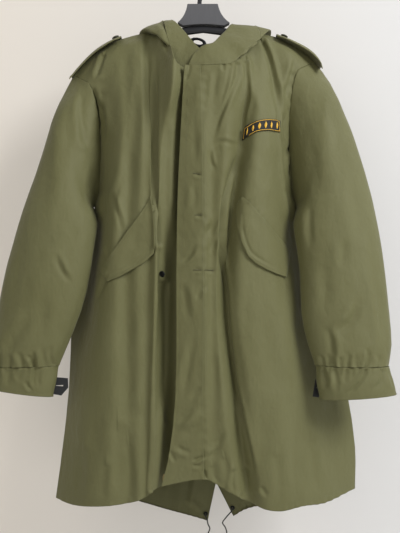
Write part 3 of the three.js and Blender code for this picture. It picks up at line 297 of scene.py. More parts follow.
LEFT_FRONT_CREASES = table(CREASE, """
5 3 -2.2 end 93,-200 95,-264 88,-300 84,-336 79,-380
3.8 6 -3.4 84,-350 68,-403 52,-464 46,-505 44,-572 51,-623 56,-674 60,-731 66,-780
4 5.6 -3 52,-640 60,-731 71,-829 83,-890 103,-989 109,-1048
4.5 3.4 2.4 140,-202 156,-282 160,-316 171,-364 174,-404 182,-472 187,-522 195,-576
16 3.4 1 26,-500 32,-600 38,-720 46,-830
4.5 2.4 -1.6 end 76,-208 73,-235 52,-286 39,-316 20,-372
4.5 1.2 -0.9 end 60,-214 52,-252 38,-300
4 1.6 1.2 82,-368 60,-364 40,-362 22,-374
4 1.5 -1.2 20,-370 22,-400 33,-420
7 2.2 1.4 84,-380 72,-406 62,-440
8 2.2 1.6 18,-216 13,-262 8,-320 4,-372
9 2 -1.6 4,-258 -6,-310 -10,-380 -7,-430
6 1.8 1.2 33,-214 32,-240 24,-290
4 1.6 1 end -20,-214 -22,-228 -30,-246
4 1.4 0.8 end 47,-212 46,-226
3.5 1.8 1 -12,-424 -3,-428 5,-426
6 1.4 1 -12,-440 -9,-470 -15,-500
3.5 1.8 1 -8,-505 -1,-508 7,-505
4.5 2.4 1.6 -40,-601 -20,-586 -5,-562
7 1.8 -1.5 -5,-560 28,-524 46,-490
6 1.8 1.2 17,-582 32,-556 44,-530
3.5 1.6 0.9 -12,-616 -4,-612 6,-612
3.5 1.6 0.9 8,-612 18,-614 30,-613
5 1.8 1.2 -5,-674 3,-652 12,-642
7 1.8 -1.3 -34,-632 -26,-672 -20,-716
8 2.4 1.8 -8,-730 -22,-800 -34,-868
6 1.8 1.3 -20,-868 -7,-852 6,-838
7 2.2 1.8 -48,-912 -28,-897 -3,-870
9 2 -1.5 -44,-938 -16,-926 10,-900
4 1.8 1.2 -60,-962 -53,-976 -47,-990
5 1.8 1.4 -48,-952 -36,-962 -15,-968
3.5 2.6 1.8 -17,-985 -2,-980 13,-973
4 1.6 1 -17,-993 4,-992
3 2.2 1.2 start 8,-1000 12,-1016
6 2.2 1.6 15,-968 36,-947 56,-922
5 2 -1.4 13,-984 30,-968 46,-952
9 1.8 1.4 24,-760 30,-820 28,-880
6 1.4 0.9 end 26,-1000 30,-1020 28,-1030
7 1.6 1.1 end 50,-984 55,-1010 52,-1036
5 1.8 1.2 end 67,-1008 65,-1030 68,-1050
5 2 -1.4 end 90,-1010 93,-1038 90,-1060
4 1.8 1.2 end 84,-1054 90,-1066 97,-1074
5 1.8 1.2 117,-1030 124,-1042 134,-1056
5 3.6 -2.6 end 129,-148 142,-186 160,-272 165,-308
6 2.6 1.8 192,-170 193,-192 184,-228 168,-276
10 2 1.5 112,-160 113,-220 118,-290
7 1.8 -1.4 98,-190 101,-250 106,-316
9 1.4 -1 146,-210 148,-260 150,-300
5 3.4 2.2 172,-288 174,-330 182,-352
4 2.8 -2 194,-352 184,-366 178,-384
4 2.6 -1.8 198,-384 189,-398 184,-424
13 1.8 1.2 127,-372 133,-420 128,-462
12 1.6 -1.2 160,-360 158,-420 168,-480
14 2 1.4 96,-640 88,-720 98,-800
18 2 -1.4 150,-660 140,-760 152,-860
14 2 1.4 110,-860 122,-940 118,-1020
16 2 1.4 end 182,-880 190,-960 184,-1060
12 1.6 -1.2 end 222,-960 228,-1020 236,-1070
9 1.5 1 end 152,-980 156,-1030 150,-1070
14 -5 0.1 190,-450 191,-488 190,-520
""")

RIGHT_SLEEVE_CREASES = table(CREASE, """
5 2.8 -1.8 -283,-576 -270,-612 -252,-642
12 3.2 2 -322,-696 -352,-734 -374,-762 -384,-794
13 1.8 1.4 -262,-300 -268,-370 -270,-440
16 1.8 -1.2 -294,-330 -304,-420 -318,-520
8 2.4 1.6 start -236,-232 -240,-290 -232,-350
6 2.4 -1.6 -214,-392 -220,-440 -218,-486
12 2 1.4 -232,-520 -252,-560 -276,-590
14 1.8 1.2 -346,-560 -364,-640 -378,-712
12 1.8 -1.2 -300,-650 -306,-700 -318,-752
4 3 1.8 start -338,-776 -328,-794 -323,-808
4 2.6 -1.6 start -326,-768 -324,-790 -328,-806
5 2.2 1.4 start -356,-770 -350,-790 -346,-806
5 2.4 1.4 start -306,-762 -308,-782 -304,-802
5 2 -1.2 start -376,-776 -372,-792 -374,-806
5 2 1.2 start -398,-770 -396,-790 -398,-806
4 2 -1.2 start -290,-756 -294,-780 -291,-800
10 -4 0.1 -208,-330 -207,-395 -214,-470 -216,-530
""")

RIGHT_CUFF_CREASES = table(CREASE, """
3.5 2.6 1.4 end -324,-808 -327,-826 -326,-848
3.5 2.4 1.4 -343,-829 -337,-842 -330,-854
4 1.8 -1.2 end -316,-808 -318,-830 -316,-846
4 1.6 1 -352,-808 -356,-822 -352,-836
5 1.4 1 end -380,-810 -378,-828 -382,-842
5 1.4 1 end -404,-808 -400,-822 -404,-836
""")

LEFT_SLEEVE_CREASES = table(CREASE, """
9 2.2 1.6 284,-546 280,-580 279,-616
8 3.4 2.4 311,-660 298,-704 272,-728 254,-744
6 3 -2 start 244,-718 254,-748 257,-802
12 2 1.4 240,-586 246,-650 240,-712
9 2.2 1.8 338,-586 352,-680 362,-790
4 3 1.8 start 324,-760 326,-782 319,-802
12 1.6 1.2 221,-330 230,-400 234,-480
18 1.8 -1.2 262,-260 280,-350 290,-450
14 1.4 1 300,-420 312,-500 322,-580
6 2.4 1.6 222,-470 216,-520 220,-580
4 2.2 1.2 start 236,-776 238,-792 236,-800
4 2.2 -1.2 start 246,-770 249,-788 246,-801
4 2.4 1.4 start 272,-776 270,-790 273,-802
4 2.4 -1.4 start 286,-768 288,-786 285,-802
4 2.2 1.4 start 300,-772 299,-790 302,-803
5 1.8 1.2 start 345,-772 348,-790 345,-804
10 -4 0.1 188,-340 186,-400 194,-470 198,-530
""")

LEFT_CUFF_CREASES = table(CREASE, """
3.5 3 1.8 end 320,-806 312,-822 296,-840 284,-856
3.5 2.4 1.4 end 353,-808 350,-826 336,-844
5 1.8 1.2 end 262,-808 264,-830 262,-852
5 1.8 -1.2 end 240,-808 244,-828 242,-846
4 1.6 1 end 281,-806 279,-820 282,-834
5 1.6 1 368,-808 374,-826 378,-846
""")

HOOD_CREASES = table(CREASE, """
7 2.4 1.6 -92,-96 -70,-118 -58,-150
8 1.8 1.2 88,-112 108,-118 128,-132
11 3 2 -40,-150 -48,-190 -40,-236
12 3 -2 8,-168 2,-210 10,-250
10 2.8 2 46,-150 56,-186 48,-230
8 2.2 -1.4 88,-136 96,-160 104,-190
8 2.2 1.4 -80,-130 -92,-150 -104,-176
""")

BACK_CREASES = table(CREASE, """
20 3.4 2.2 -40,-240 -52,-400 -46,-560
22 3 -2.2 30,-260 24,-420 36,-600
16 3 2 -150,-240 -140,-330 -152,-440
16 3 -2 140,-250 132,-340 146,-460
12 2.8 1.8 -206,-470 -160,-530 -100,-566
12 2.8 -1.8 196,-470 150,-520 104,-550
18 3 2 -190,-620 -180,-760 -196,-900
20 3.2 -2.2 -110,-640 -122,-800 -112,-960
20 3.2 2.2 110,-640 126,-800 120,-940
18 3 -2 206,-640 224,-780 222,-920
16 2.8 2 -34,-700 -20,-860 -30,-1010
16 2.8 -2 60,-700 70,-860 84,-1000
7 2.4 1.6 end -8,-1060 -16,-1100 -20,-1140
8 2 -1.4 end -60,-1050 -70,-1090 -74,-1126
8 2.2 1.6 end 96,-1050 104,-1090 112,-1126
9 2 1.4 end 150,-1030 156,-1070 162,-1106
10 2 1.4 end -160,-1000 -166,-1050 -164,-1096
6 1.8 1.2 -40,-1110 -10,-1128 10,-1150
14 -5 0.1 -206,-450 -206,-484 -204,-516
14 -5 0.1 190,-450 191,-488 190,-520
6 1.8 1.2 86,-1120 104,-1116 126,-1110
""")

BACK_SLEEVE_CREASES = table(CREASE, """
14 2.6 1.8 -246,-250 -258,-340 -250,-420
10 2.8 2 -232,-510 -284,-560 -330,-576
11 2.6 -1.8 -250,-600 -300,-640 -352,-650
8 2.4 1.6 start -318,-690 -326,-740 -322,-800
8 2.4 -1.6 start -352,-720 -362,-760 -356,-804
14 2.6 1.8 244,-240 256,-330 246,-420
10 2.8 2 212,-500 262,-548 310,-560
11 2.6 -1.8 224,-590 276,-628 330,-636
8 2.4 1.6 start 262,-690 268,-740 264,-798
8 2.4 -1.6 start 312,-700 318,-750 312,-800
10 -4 0.1 -208,-330 -207,-395 -214,-470 -216,-530
10 -4 0.1 188,-340 186,-400 194,-470 198,-530
""")

POCKET_FLAP_CREASES = table(CREASE, """
2.8 1.3 0.7 83,-490 84.5,-515 85,-535 94,-567 106,-583 130,-598 166,-614
9 0.9 0.5 104,-500 116,-530 112,-560
2.8 1 -0.5 -92,-496 -93,-540 -97,-573 -132,-601 -176,-623
9 0.8 0.5 -110,-520 -126,-548 -122,-580
""")

# Puckers along sewn lines: their spacing and depth, how far they reach either side, and
# the line's route.

PUCKER = "pitch depth reach"

STORM_FLAP_PUCKERS = table(PUCKER, """
23 0.45 8 7,-214 8,-480 7,-700 10,-1015
31 0.35 7 -30,-214 -33,-480 -40,-700 -62,-1030
""")

RIGHT_FRONT_PUCKERS = table(PUCKER, """
29 0.7 11 -205,-215 -198,-300 -208,-470
17 0.8 10 -40,-1040 -110,-1066 -190,-1080 -292,-1088
16 0.6 8 -93,-478 -145,-550 -197,-616
""")

LEFT_FRONT_PUCKERS = STORM_FLAP_PUCKERS + table(PUCKER, """
27 0.6 10 196,-200 186,-300 196,-470
15 1 11 -60,-1036 10,-1024 120,-1082 314,-1076
16 0.6 8 85,-474 133,-526 184,-580
""")

BACK_PUCKERS = table(PUCKER, """
13 1.2 14 -296,-1090 -200,-1106 -74,-1140 17,-1160
13 1.2 14 74,-1152 136,-1130 244,-1098 320,-1070
24 0.8 10 2,-260 4,-480 28,-860 36,-1070
""")

SLEEVE_PUCKERS = table(PUCKER, """
11 0.8 12 -432,-808 -350,-808 -278,-806
11 0.8 12 224,-803 300,-804 378,-804
""")

NO_ROWS = []

# Where a front's cloth stands forward of its plain form: how wide the swell is, how far
# it stands forward, in millimetres, which end it fades at if not both, and its route.

SWELL = "width forward fade"

SWELLS = {
    "front_right": table(SWELL, """
14 24 end -50,-170 -52,-300 -53,-420 -54,-560 -54,-640
13 8 -132,-130 -134,-240 -133,-340 -130,-440
8 -16 end -71,-642 -73,-740 -75,-840 -82,-940
14 8 -206,-560 -214,-640 -224,-720
"""),
    "front_left": table(SWELL, """
8 5 93,-150 96,-220 98,-292
12 10 188,-560 192,-640 194,-740
"""),
}

# The creases and puckers of each piece.

CREASES = {
    "storm_flap": (LEFT_FRONT_CREASES, STORM_FLAP_PUCKERS),
    "chest_patch": (LEFT_FRONT_CREASES, NO_ROWS),
}
for side, front_creases, front_puckers, sleeve_creases, cuff_creases in (
    ("right", RIGHT_FRONT_CREASES, RIGHT_FRONT_PUCKERS, RIGHT_SLEEVE_CREASES, RIGHT_CUFF_CREASES),
    ("left", LEFT_FRONT_CREASES, LEFT_FRONT_PUCKERS, LEFT_SLEEVE_CREASES, LEFT_CUFF_CREASES),
):
    CREASES |= {
        "front_" + side: (front_creases, front_puckers),
        "pocket_flap_" + side: (front_creases + POCKET_FLAP_CREASES, NO_ROWS),
        "back_" + side: (BACK_CREASES, BACK_PUCKERS),
        "sleeve_front_" + side: (sleeve_creases, SLEEVE_PUCKERS),
        "sleeve_back_" + side: (BACK_SLEEVE_CREASES, SLEEVE_PUCKERS),
        "cuff_" + side: (cuff_creases, SLEEVE_PUCKERS),
        "hood_" + side: (HOOD_CREASES, NO_ROWS),
    }

# ---- properties


def length_prop(name, description, default):
    return bpy.props.FloatProperty(
        name=name, description=description, default=default, min=0.0, unit="LENGTH"
    )


def colour_prop(name, description, default):
    return bpy.props.FloatVectorProperty(
        name=name, description=description, default=default, size=3, min=0, max=1, subtype="COLOR"
    )


class ParkaCloth(bpy.types.PropertyGroup):
    thickness: length_prop("Thickness", "Thickness of the shell cloth with its lining", 0.0016)
    weave: length_prop("Weave", "Spacing of the threads in the cloth", 0.0007)
    unevenness: length_prop("Unevenness", "Height of the soft unevenness of the cloth", 0.0011)
    creasing: bpy.props.FloatProperty(
        name="Creasing", description="How strongly the cloth is creased", default=1.4, min=0
    )
    shell: colour_prop("Shell", "Colour of the shell cloth", (0.134, 0.129, 0.050))
    faded: colour_prop("Faded", "Colour where the cloth has faded", (0.172, 0.168, 0.078))
    tape: colour_prop("Tape", "Colour of the black tabs and loop", (0.016, 0.016, 0.017))


class ParkaSewing(bpy.types.PropertyGroup):
    stitch: length_prop("Stitch", "Length of one stitch", 0.0026)
    pitch: length_prop("Pitch", "Spacing of the stitches", 0.0036)
    thread: length_prop("Thread", "Thickness of the sewing thread", 0.0006)
    colour: colour_prop("Thread colour", "Colour of the sewing thread", (0.085, 0.080, 0.028))
    patch: colour_prop("Patch thread", "Colour of the patch's embroidery", (0.85, 0.50, 0.045))


class ParkaFittings(bpy.types.PropertyGroup):
    cord: length_prop("Cord", "Thickness of the drawcord", 0.0027)
    tooth: length_prop("Tooth", "Spacing of the zip's teeth", 0.0042)
    button: colour_prop("Button", "Colour of the buttons", (0.05, 0.052, 0.03))
    brass: colour_prop("Brass", "Colour of the zip's metal", (0.48, 0.38, 0.19))
    black: colour_prop("Black", "Colour of the hanger's arms and hook", (0.018, 0.018, 0.02))
    grey: colour_prop("Grey", "Colour of the hanger's head", (0.105, 0.104, 0.110))


class ParkaStage(bpy.types.PropertyGroup):
    camera_distance: length_prop("Camera distance", "From the hanger to the camera", 1.5)
    warm: colour_prop("Warm wall", "Colour of the wall on the left", (0.54, 0.50, 0.45))
    cool: colour_prop("Cool wall", "Colour of the wall on the right", (0.50, 0.49, 0.48))


# ---- shared materials


def node(tree, kind, inputs=None, **settings):
    """A new shader node with its settings and the values or links of its inputs."""
    made = tree.nodes.new(kind)
    for name, setting in settings.items():
        setattr(made, name, setting)
    for name, given in (inputs or {}).items():
        if isinstance(given, bpy.types.NodeSocket):
            tree.links.new(given, made.inputs[name])
        else:
            made.inputs[name].default_value = given
    return made


def maths(tree, operation, *terms):
    return node(tree, "ShaderNodeMath", dict(enumerate(terms)), operation=operation).outputs[0]


def mixed_colour(tree, factor, first, second):
    """A mix of two colours, each a socket or a tuple of red, green and blue."""
    ends = [(*c, 1) if isinstance(c, tuple) else c for c in (first, second)]
    inputs = {0: factor, 6: ends[0], 7: ends[1]}
    return node(tree, "ShaderNodeMix", inputs, data_type="RGBA").outputs[2]


def object_noise(tree, scale, detail=2.0, stretch=(1, 1, 1), roughness=0.5):
    place = node(tree, "ShaderNodeTexCoord").outputs["Object"]
    mapping = node(tree, "ShaderNodeMapping", {"Scale": stretch, "Vector": place})
    inputs = {
        "Scale": scale, "Detail": detail, "Roughness": roughness, "Vector": mapping.outputs[0]
    }
    return node(tree, "ShaderNodeTexNoise", inputs).outputs[0]


def new_group(name, inputs):
    """A shader group with named inputs that gives a colour, a roughness and a height."""
    tree = bpy.data.node_groups.new(name, "ShaderNodeTree")
    kinds = {tuple: "NodeSocketColor", float: "NodeSocketFloat"}
    for label, default in inputs.items():
        socket = tree.interface.new_socket(label, in_out="INPUT", socket_type=kinds[type(default)])
        socket.default_value = default
    for label, kind in (("Colour", tuple), ("Roughness", float), ("Height", float)):
        tree.interface.new_socket(label, in_out="OUTPUT", socket_type=kinds[kind])
    return tree, tree.nodes.new("NodeGroupInput").outputs


def give(tree, colour, roughness, height):
    node(tree, "NodeGroupOutput", {"Colour": colour, "Roughness": roughness, "Height": height})
    return tree


def woven_group():
    """Plain weave on the piece's own UVs, in metres, with crumple and fading."""
    tree, given = new_group(
        "Woven Cloth",
        {"Cloth": (0.2, 0.2, 0.1, 1), "Faded": (0.25, 0.25, 0.12, 1), "Thread Spacing": 0.0007,
         "Crumple": 0.5},
    )
    uv = node(tree, "ShaderNodeUVMap", uv_map="cut").outputs[0]
    parts = node(tree, "ShaderNodeSeparateXYZ", {0: uv}).outputs
    turns = maths(tree, "DIVIDE", math.pi, given["Thread Spacing"])
    warp, weft = [maths(tree, "SINE", maths(tree, "MULTIPLY", parts[i], turns)) for i in (0, 1)]
    weave = maths(tree, "MULTIPLY", warp, weft)
    clouds = object_noise(tree, 7.0, 3.0)
    streaks = object_noise(tree, 22.0, 3.0, (1.6, 1.6, 0.18))
    slub = object_noise(tree, 260.0, 2.0, (1, 1, 0.25))
    crumple = object_noise(tree, 42.0, 4.0, (1, 1, 0.6), 0.62)
    ridges = object_noise(tree, 15.0, 3.0, (1.3, 1.3, 0.8), 0.6)
    sharp = maths(tree, "ABSOLUTE", maths(tree, "SUBTRACT", ridges, 0.5))
    fading = maths(tree, "MULTIPLY_ADD", clouds, 0.75, maths(tree, "MULTIPLY", streaks, 0.55))
    fading = maths(tree, "MULTIPLY_ADD", slub, 0.28, maths(tree, "SUBTRACT", fading, 0.36))
    folds = maths(tree, "MULTIPLY_ADD", sharp, 7.0, crumple)
    folds = maths(tree, "MULTIPLY", folds, given["Crumple"])
    height = maths(tree, "MULTIPLY_ADD", weave, 0.05, folds)
    return give(
        tree,
        mixed_colour(tree, fading, given["Cloth"], given["Faded"]),
        maths(tree, "MULTIPLY_ADD", clouds, 0.16, 0.52),
        maths(tree, "MULTIPLY_ADD", slub, 0.06, height),
    )


def worn_group():
    """Handling wear for moulded and metal parts: duller patches and fine scratches."""
    tree, given = new_group(
        "Handling Wear",
        {"Colour": (0.1, 0.1, 0.1, 1), "Worn Colour": (0.2, 0.2, 0.2, 1), "Roughness": 0.4,
         "Grain": 0.3},
    )
    dull = object_noise(tree, 30.0, 4.0)
    scratch = object_noise(tree, 180.0, 3.0, (1, 1, 0.12), 0.7)
    grain = object_noise(tree, 1500.0, 1.0)
    wear = maths(tree, "MULTIPLY", maths(tree, "SUBTRACT", scratch, 0.42), 0.9)
    return give(
        tree,
        mixed_colour(tree, wear, given["Colour"], given["Worn Colour"]),
        maths(tree, "MULTIPLY_ADD", dull, 0.22, given["Roughness"]),
        maths(tree, "MULTIPLY", grain, given["Grain"]),
    )


GROUPS = {"Woven Cloth": woven_group, "Handling Wear": worn_group}


def finished(name, group, inputs, bump, sockets):
    """A material whose colour, roughness and relief come from a shared group."""
    name = "finish_" + name
    if name in bpy.data.materials:
        return bpy.data.materials[name]
    made = bpy.data.materials.new(name)
    made.use_nodes = True
    tree = made.node_tree
    shared = bpy.data.node_groups.get(group) or GROUPS[group]()
    effect = node(tree, "ShaderNodeGroup", node_tree=shared)
    for label, given in inputs.items():
        effect.inputs[label].default_value = given
    strength, distance = bump
    relief = {"Strength": strength, "Distance": distance, "Height": effect.outputs["Height"]}
    shader = tree.nodes["Principled BSDF"].inputs
    for label, output in (
        ("Base Color", effect.outputs["Colour"]),
        ("Roughness", effect.outputs["Roughness"]),
        ("Normal", node(tree, "ShaderNodeBump", relief).outputs[0]),
    ):
        tree.links.new(output, shader[label])
    for label, given in sockets.items():
        shader[label].default_value = given
    return made


def rgba(colour, gain=1.0):
    return (*[min(1.0, c * gain) for c in colour], 1.0)


def cloth_material(name, colour, faded, crumple=0.5, sheen=0.07):
    weave = bpy.context.scene.parka_cloth.weave
    return finished(
        name, "Woven Cloth",
        {"Cloth": rgba(colour), "Faded": rgba(faded), "Thread Spacing": weave, "Crumple": crumple},
        (0.6, 0.0024),
        {"Sheen Weight": sheen, "Sheen Roughness": 0.4, "Specular IOR Level": 0.26},
    )


def shell_material():
    cloth = bpy.context.scene.parka_cloth
    return cloth_material("shell_cloth", cloth.shell, cloth.faded)


def worn_material(name, colour, worn, roughness, grain, bump, sockets):
    colours = {"Colour": rgba(colour), "Worn Colour": rgba(colour, worn)}
    inputs = colours | {"Roughness": roughness, "Grain": grain}
    return finished(name, "Handling Wear", inputs, bump, sockets)


def moulded_material(name, colour, roughness, grain=0.3, metallic=0.0, worn=1.7):
    sockets = {"Metallic": metallic, "Specular IOR Level": 0.4}
    return worn_material(name, colour, worn, roughness, grain, (0.25, 0.0003), sockets)


def dark_metal():
    black = bpy.context.scene.parka_fittings.black
    return moulded_material("dark_metal", black, 0.35, 0.3, 0.8, 3.0)


def thread_material(name, colour):
    sockets = {"Sheen Weight": 0.3, "Specular IOR Level": 0.35}
    return worn_material(name, colour, 1.35, 0.7, 0.9, (0.4, 0.0002), sockets)


def olive_thread():
    return thread_material("thread_olive", bpy.context.scene.parka_sewing.colour)


# ---- cloth surfaces

SAME_POINT = 0.001 * MM  # closer points are joined
RIM_TOLERANCE = 0.004 * MM  # an edge this near the wall's thickness crosses it


def merged_copy(name):
    """A bmesh copy of a frame node, its loose triangles joined."""
    bm = bmesh.new()
    bm.from_mesh(frame["nodes"][name].data)
    bmesh.ops.remove_doubles(bm, verts=bm.verts, dist=SAME_POINT)
    return bm


def islands(bm):
    """The connected groups of faces."""
    left, found = set(bm.faces), []
    while left:
        stack, group = [left.pop()], []
        while stack:
            face = stack.pop()
            group.append(face)
            for near in {f for e in face.edges for f in e.link_faces} & left:
                left.discard(near)
                stack.append(near)
        found.append(group)
    return found


def outwardness(faces, way):
    """How far a sheet faces along a way, or out from its middle if there is none."""
    middle = sum((f.calc_center_median() * f.calc_area() for f in faces), Vector())
    middle /= sum(f.calc_area() for f in faces)
    return sum(
        f.calc_area() * f.normal.dot(way or (f.calc_center_median() - middle)) for f in faces
    )


def outer_sheet(name, wall, way=None):
    """The outer face of a cloth solid, without its rims and its inner face."""
    bm = merged_copy(name)
    through = {e for e in bm.edges if abs(e.calc_length() - wall) < RIM_TOLERANCE}
    rims = {f for e in through for f in e.link_faces}
    bmesh.ops.delete(bm, geom=list(rims), context="FACES")
    sheets = sorted(islands(bm), key=lambda faces: outwardness(faces, way))
    for inner in sheets[:-1]:
        bmesh.ops.delete(bm, geom=inner, context="FACES")
    return bm


LATTICE = ((1, 0), (0, 1), (1, 1))


def edge_families(bm):
    """The diagonals and the edges down a sheet, which is a regular grid of triangles."""
    start = next(iter(bm.faces))
    a, b, c = start.verts
    labels = {start: {a: (0, 0), b: (1, 0), c: (1, 1)}}
    families = {step: set() for step in LATTICE}
    stack = [start]
    while stack:
        face = stack.pop()
        places = labels[face]
        for edge in face.edges:
            p, q = sorted(places[v] for v in edge.verts)
            families[q[0] - p[0], q[1] - p[1]].add(edge)
            third = next(places[v] for v in face.verts if v not in edge.verts)
            other = (p[0] + q[0] - third[0], p[1] + q[1] - third[1])
            for near in edge.link_faces:
                if near in labels:
                    continue
                corner = next(v for v in near.verts if v not in edge.verts)
                labels[near] = {v: places[v] for v in edge.verts} | {corner: other}
                stack.append(near)
    inside = [f for f in families.values() if not any(e.is_boundary for e in f)]
    diagonal = max(inside, key=lambda edges: sum(e.calc_length() for e in edges))
    rest = [f for f in families.values() if f is not diagonal]
    return diagonal, max(
        rest, key=lambda edges: sum(abs(e.verts[0].co.z - e.verts[1].co.z) for e in edges)
    )


def linked(name, data):
    """A new object in the scene."""
    obj = bpy.data.objects.new(name, data)
    bpy.context.scene.collection.objects.link(obj)
    return obj


def new_object(name, mesh, material):
    mesh.materials.append(material)
    mesh.polygons.foreach_set("use_smooth", [True] * len(mesh.polygons))
    return linked(name, mesh)


def as_mesh(name, bm):
    """A mesh of a bmesh, which is freed."""
    mesh = bpy.data.meshes.new(name)
    bm.to_mesh(mesh)
    bm.free()
    return mesh


def from_bmesh(name, bm, material):
    bm.normal_update()
    return new_object(name, as_mesh(name, bm), material)


def settle(obj, slot, *nodes):
    """Rides the body, takes a record's slot and stands for the nodes that follow."""
    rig.ride(obj, "root")
    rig.slot(obj, slot)
    if nodes:
        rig.replaces(obj, *nodes)
    return obj


def subdivided(name, bm, levels):
    """A Catmull-Clark subdivision of a sheet that keeps its sewn edges in place."""
    held = bm.verts.layers.float.new("crease_vert")
    for vert in bm.verts:
        vert[held] = 1.0 if vert.is_boundary else 0.0
    rough = as_mesh(name, bm)
    obj = linked(name + "_rough", rough)
    smooth = obj.modifiers.new("smooth", "SUBSURF")
    smooth.levels = smooth.render_levels = levels
    smooth.boundary_smooth = "PRESERVE_CORNERS"
    ready = obj.evaluated_get(bpy.context.evaluated_depsgraph_get())
    mesh = bpy.data.meshes.new_from_object(ready)
    mesh.name = name
    bpy.data.objects.remove(obj)
    bpy.data.meshes.remove(rough)
    return mesh


def smooth_curve(given, step):
    """Points a step or less apart on a smooth curve through the given vectors."""
    ends = [2 * given[0] - given[1], *given, 2 * given[-1] - given[-2]]
    curve = []
    for before, a, b, after in zip(ends, ends[1:], ends[2:], ends[3:]):
        count = max(2, round((b - a).length / step))
        for i in range(count):
            t = i / count
            curve.append(
                0.5 * ((2 * a) + (b - before) * t
                       + (2 * before - 5 * a + 4 * b - after) * t * t
                       + (3 * a - before - 3 * b + after) * t ** 3)
            )
    return [*curve, given[-1]]


def smooth_route(route, step=6.0):
    return np.array(smooth_curve([Vector(p) for p in route], step), float)


def along_route(flat, route, reach):
    """Which points lie within reach of a route, their signed distance (positive on
    the right going along it) and how far along they are, in millimetres."""
    low, high = route.min(0) - reach, route.max(0) + reach
    near = np.nonzero(((flat > low) & (flat < high)).all(1))[0]
    if not len(near):
        return near, near, near
    start, step = route[:-1], np.diff(route, axis=0)
    size = np.maximum(np.linalg.norm(step, axis=1), 1e-9)
    away = flat[near, None] - start[None]
    part = np.clip((away * step).sum(2) / size ** 2, 0, 1)
    gap = away - part[..., None] * step
    distance = np.linalg.norm(gap, axis=2)
    best = distance.argmin(1)
    rows = np.arange(len(near))
    side = step[best, 1] * gap[rows, best, 0] - step[best, 0] * gap[rows, best, 1]
    run = np.concatenate([[0], np.cumsum(size)])
    done = run[best] + part[rows, best] * size[best]
    return near, distance[rows, best] * np.where(side >= 0, 1, -1), done


def smoothstep(x):
    x = np.clip(x, 0, 1)
    return x * x * (3 - 2 * x)


REACH = 4.2  # how far a crease reaches, in widths
FADE = 0.4  # the share of a crease over which an end fades
LIP_PLACE, LIP_WIDTH = 1.7, 1.15  # where its ridge stands and how wide it is, in widths


def near_row(flat, row):
    """Which points a row's route reaches, how many widths across it they are and its
    fade there."""
    route = smooth_route(row["route"])
    near, across, done = along_route(flat, route, REACH * row["width"])
    total = np.linalg.norm(np.diff(route, axis=0), axis=1).sum()
    fade = np.ones(len(near))
    if row.get("fade") != "end":
        fade *= smoothstep(done / (FADE * total))
    if row.get("fade") != "start":
        fade *= smoothstep((total - done) / (FADE * total))
    return near, across / row["width"], fade


def swell_forward(flat, rows):
    """How far forward, in millimetres, the cloth stands over its swells."""
    forward = np.zeros(len(flat))
    for row in rows:
        near, across, fade = near_row(flat, row)
        forward[near] += row["forward"] * fade * np.exp(-(across ** 2))
    return forward


def crease_heights(flat, rows):
    """The rise of the cloth, in millimetres, from every crease."""
    rise = np.zeros(len(flat))
    for row in rows:
        near, across, fade = near_row(flat, row)
        lip = (across * math.copysign(1, row["lip"]) - LIP_PLACE) / LIP_WIDTH
        ridge = abs(row["lip"]) * np.exp(-(lip ** 2))
        rise[near] += fade * (ridge - row["depth"] * np.exp(-(across ** 2)))
    return rise


def pucker_heights(flat, rows):
    """The rise of the cloth, in millimetres, from the puckers along sewn lines, which
    wander in spacing and wax and wane along the line."""
    rise = np.zeros(len(flat))
    for row in rows:
        near, across, done = along_route(flat, smooth_route(row["route"]), 3 * row["reach"])
        wander = np.sin(done / (2.7 * row["pitch"])) * 1.8 + np.sin(done / 41.0)
        wave = np.sin(math.tau * done / row["pitch"] + wander)
        strength = 0.55 + 0.45 * np.sin(done / 53.0 + 1.0)
        rise[near] += row["depth"] * strength * wave * np.exp(-((across / row["reach"]) ** 2))
    return rise


TUBE_RADIUS = 0.07  # a sleeve's, for the weave's size round it
WALL_SHARE = 0.8  # how much of its solid's wall a cloth shell may fill


def vertex_arrays(mesh):
    places, normals = np.zeros((2, len(mesh.vertices) * 3))
    mesh.vertices.foreach_get("co", places)
    mesh.vertices.foreach_get("normal", normals)
    return places.reshape(-1, 3), normals.reshape(-1, 3)


def ripple_at(place):
    """A soft unevenness, longer down the cloth than across it, with a finer one on it."""
    x, y, z = place
    broad = noise.noise(Vector((x * 21, y * 16, z * 4.5)))
    return broad + 0.45 * noise.noise(Vector((x * 52, y * 40, z * 17 + 5)))


def crease_cloth(mesh, name, unevenness):
    """Moves the sheet's points along their normals into its creases."""
    places, normals = vertex_arrays(mesh)
    flat = places[:, [0, 2]] / MM
    places[:, 1] -= swell_forward(flat, SWELLS.get(name, NO_ROWS)) * MM
    creases, puckers = CREASES.get(name, (NO_ROWS, NO_ROWS))
    rise = crease_heights(flat, creases) + pucker_heights(flat, puckers)
    ripple = np.array([ripple_at(place) for place in places])
    rise *= bpy.context.scene.parka_cloth.creasing * MM
    places += normals * (rise + ripple * unevenness)[:, None]
    mesh.vertices.foreach_set("co", places.ravel())
    mesh.update()


def lay_cut(mesh, around=None):
    """UVs in metres, so the weave keeps its size: across the front, or round a tube
    whose middle is at x and y."""
    places, _ = vertex_arrays(mesh)
    flat = places[:, [0, 2]]
    if around is not None:
        angle = np.arctan2(places[:, 1] - around.y, places[:, 0] - around.x)
        flat = np.stack([angle * TUBE_RADIUS, places[:, 2]], 1)
    corners = np.zeros(len(mesh.loops), int)
    mesh.loops.foreach_get("vertex_index", corners)
    layer = mesh.uv_layers.new(name="cut")
    layer.data.foreach_set("uv", flat[corners].ravel())


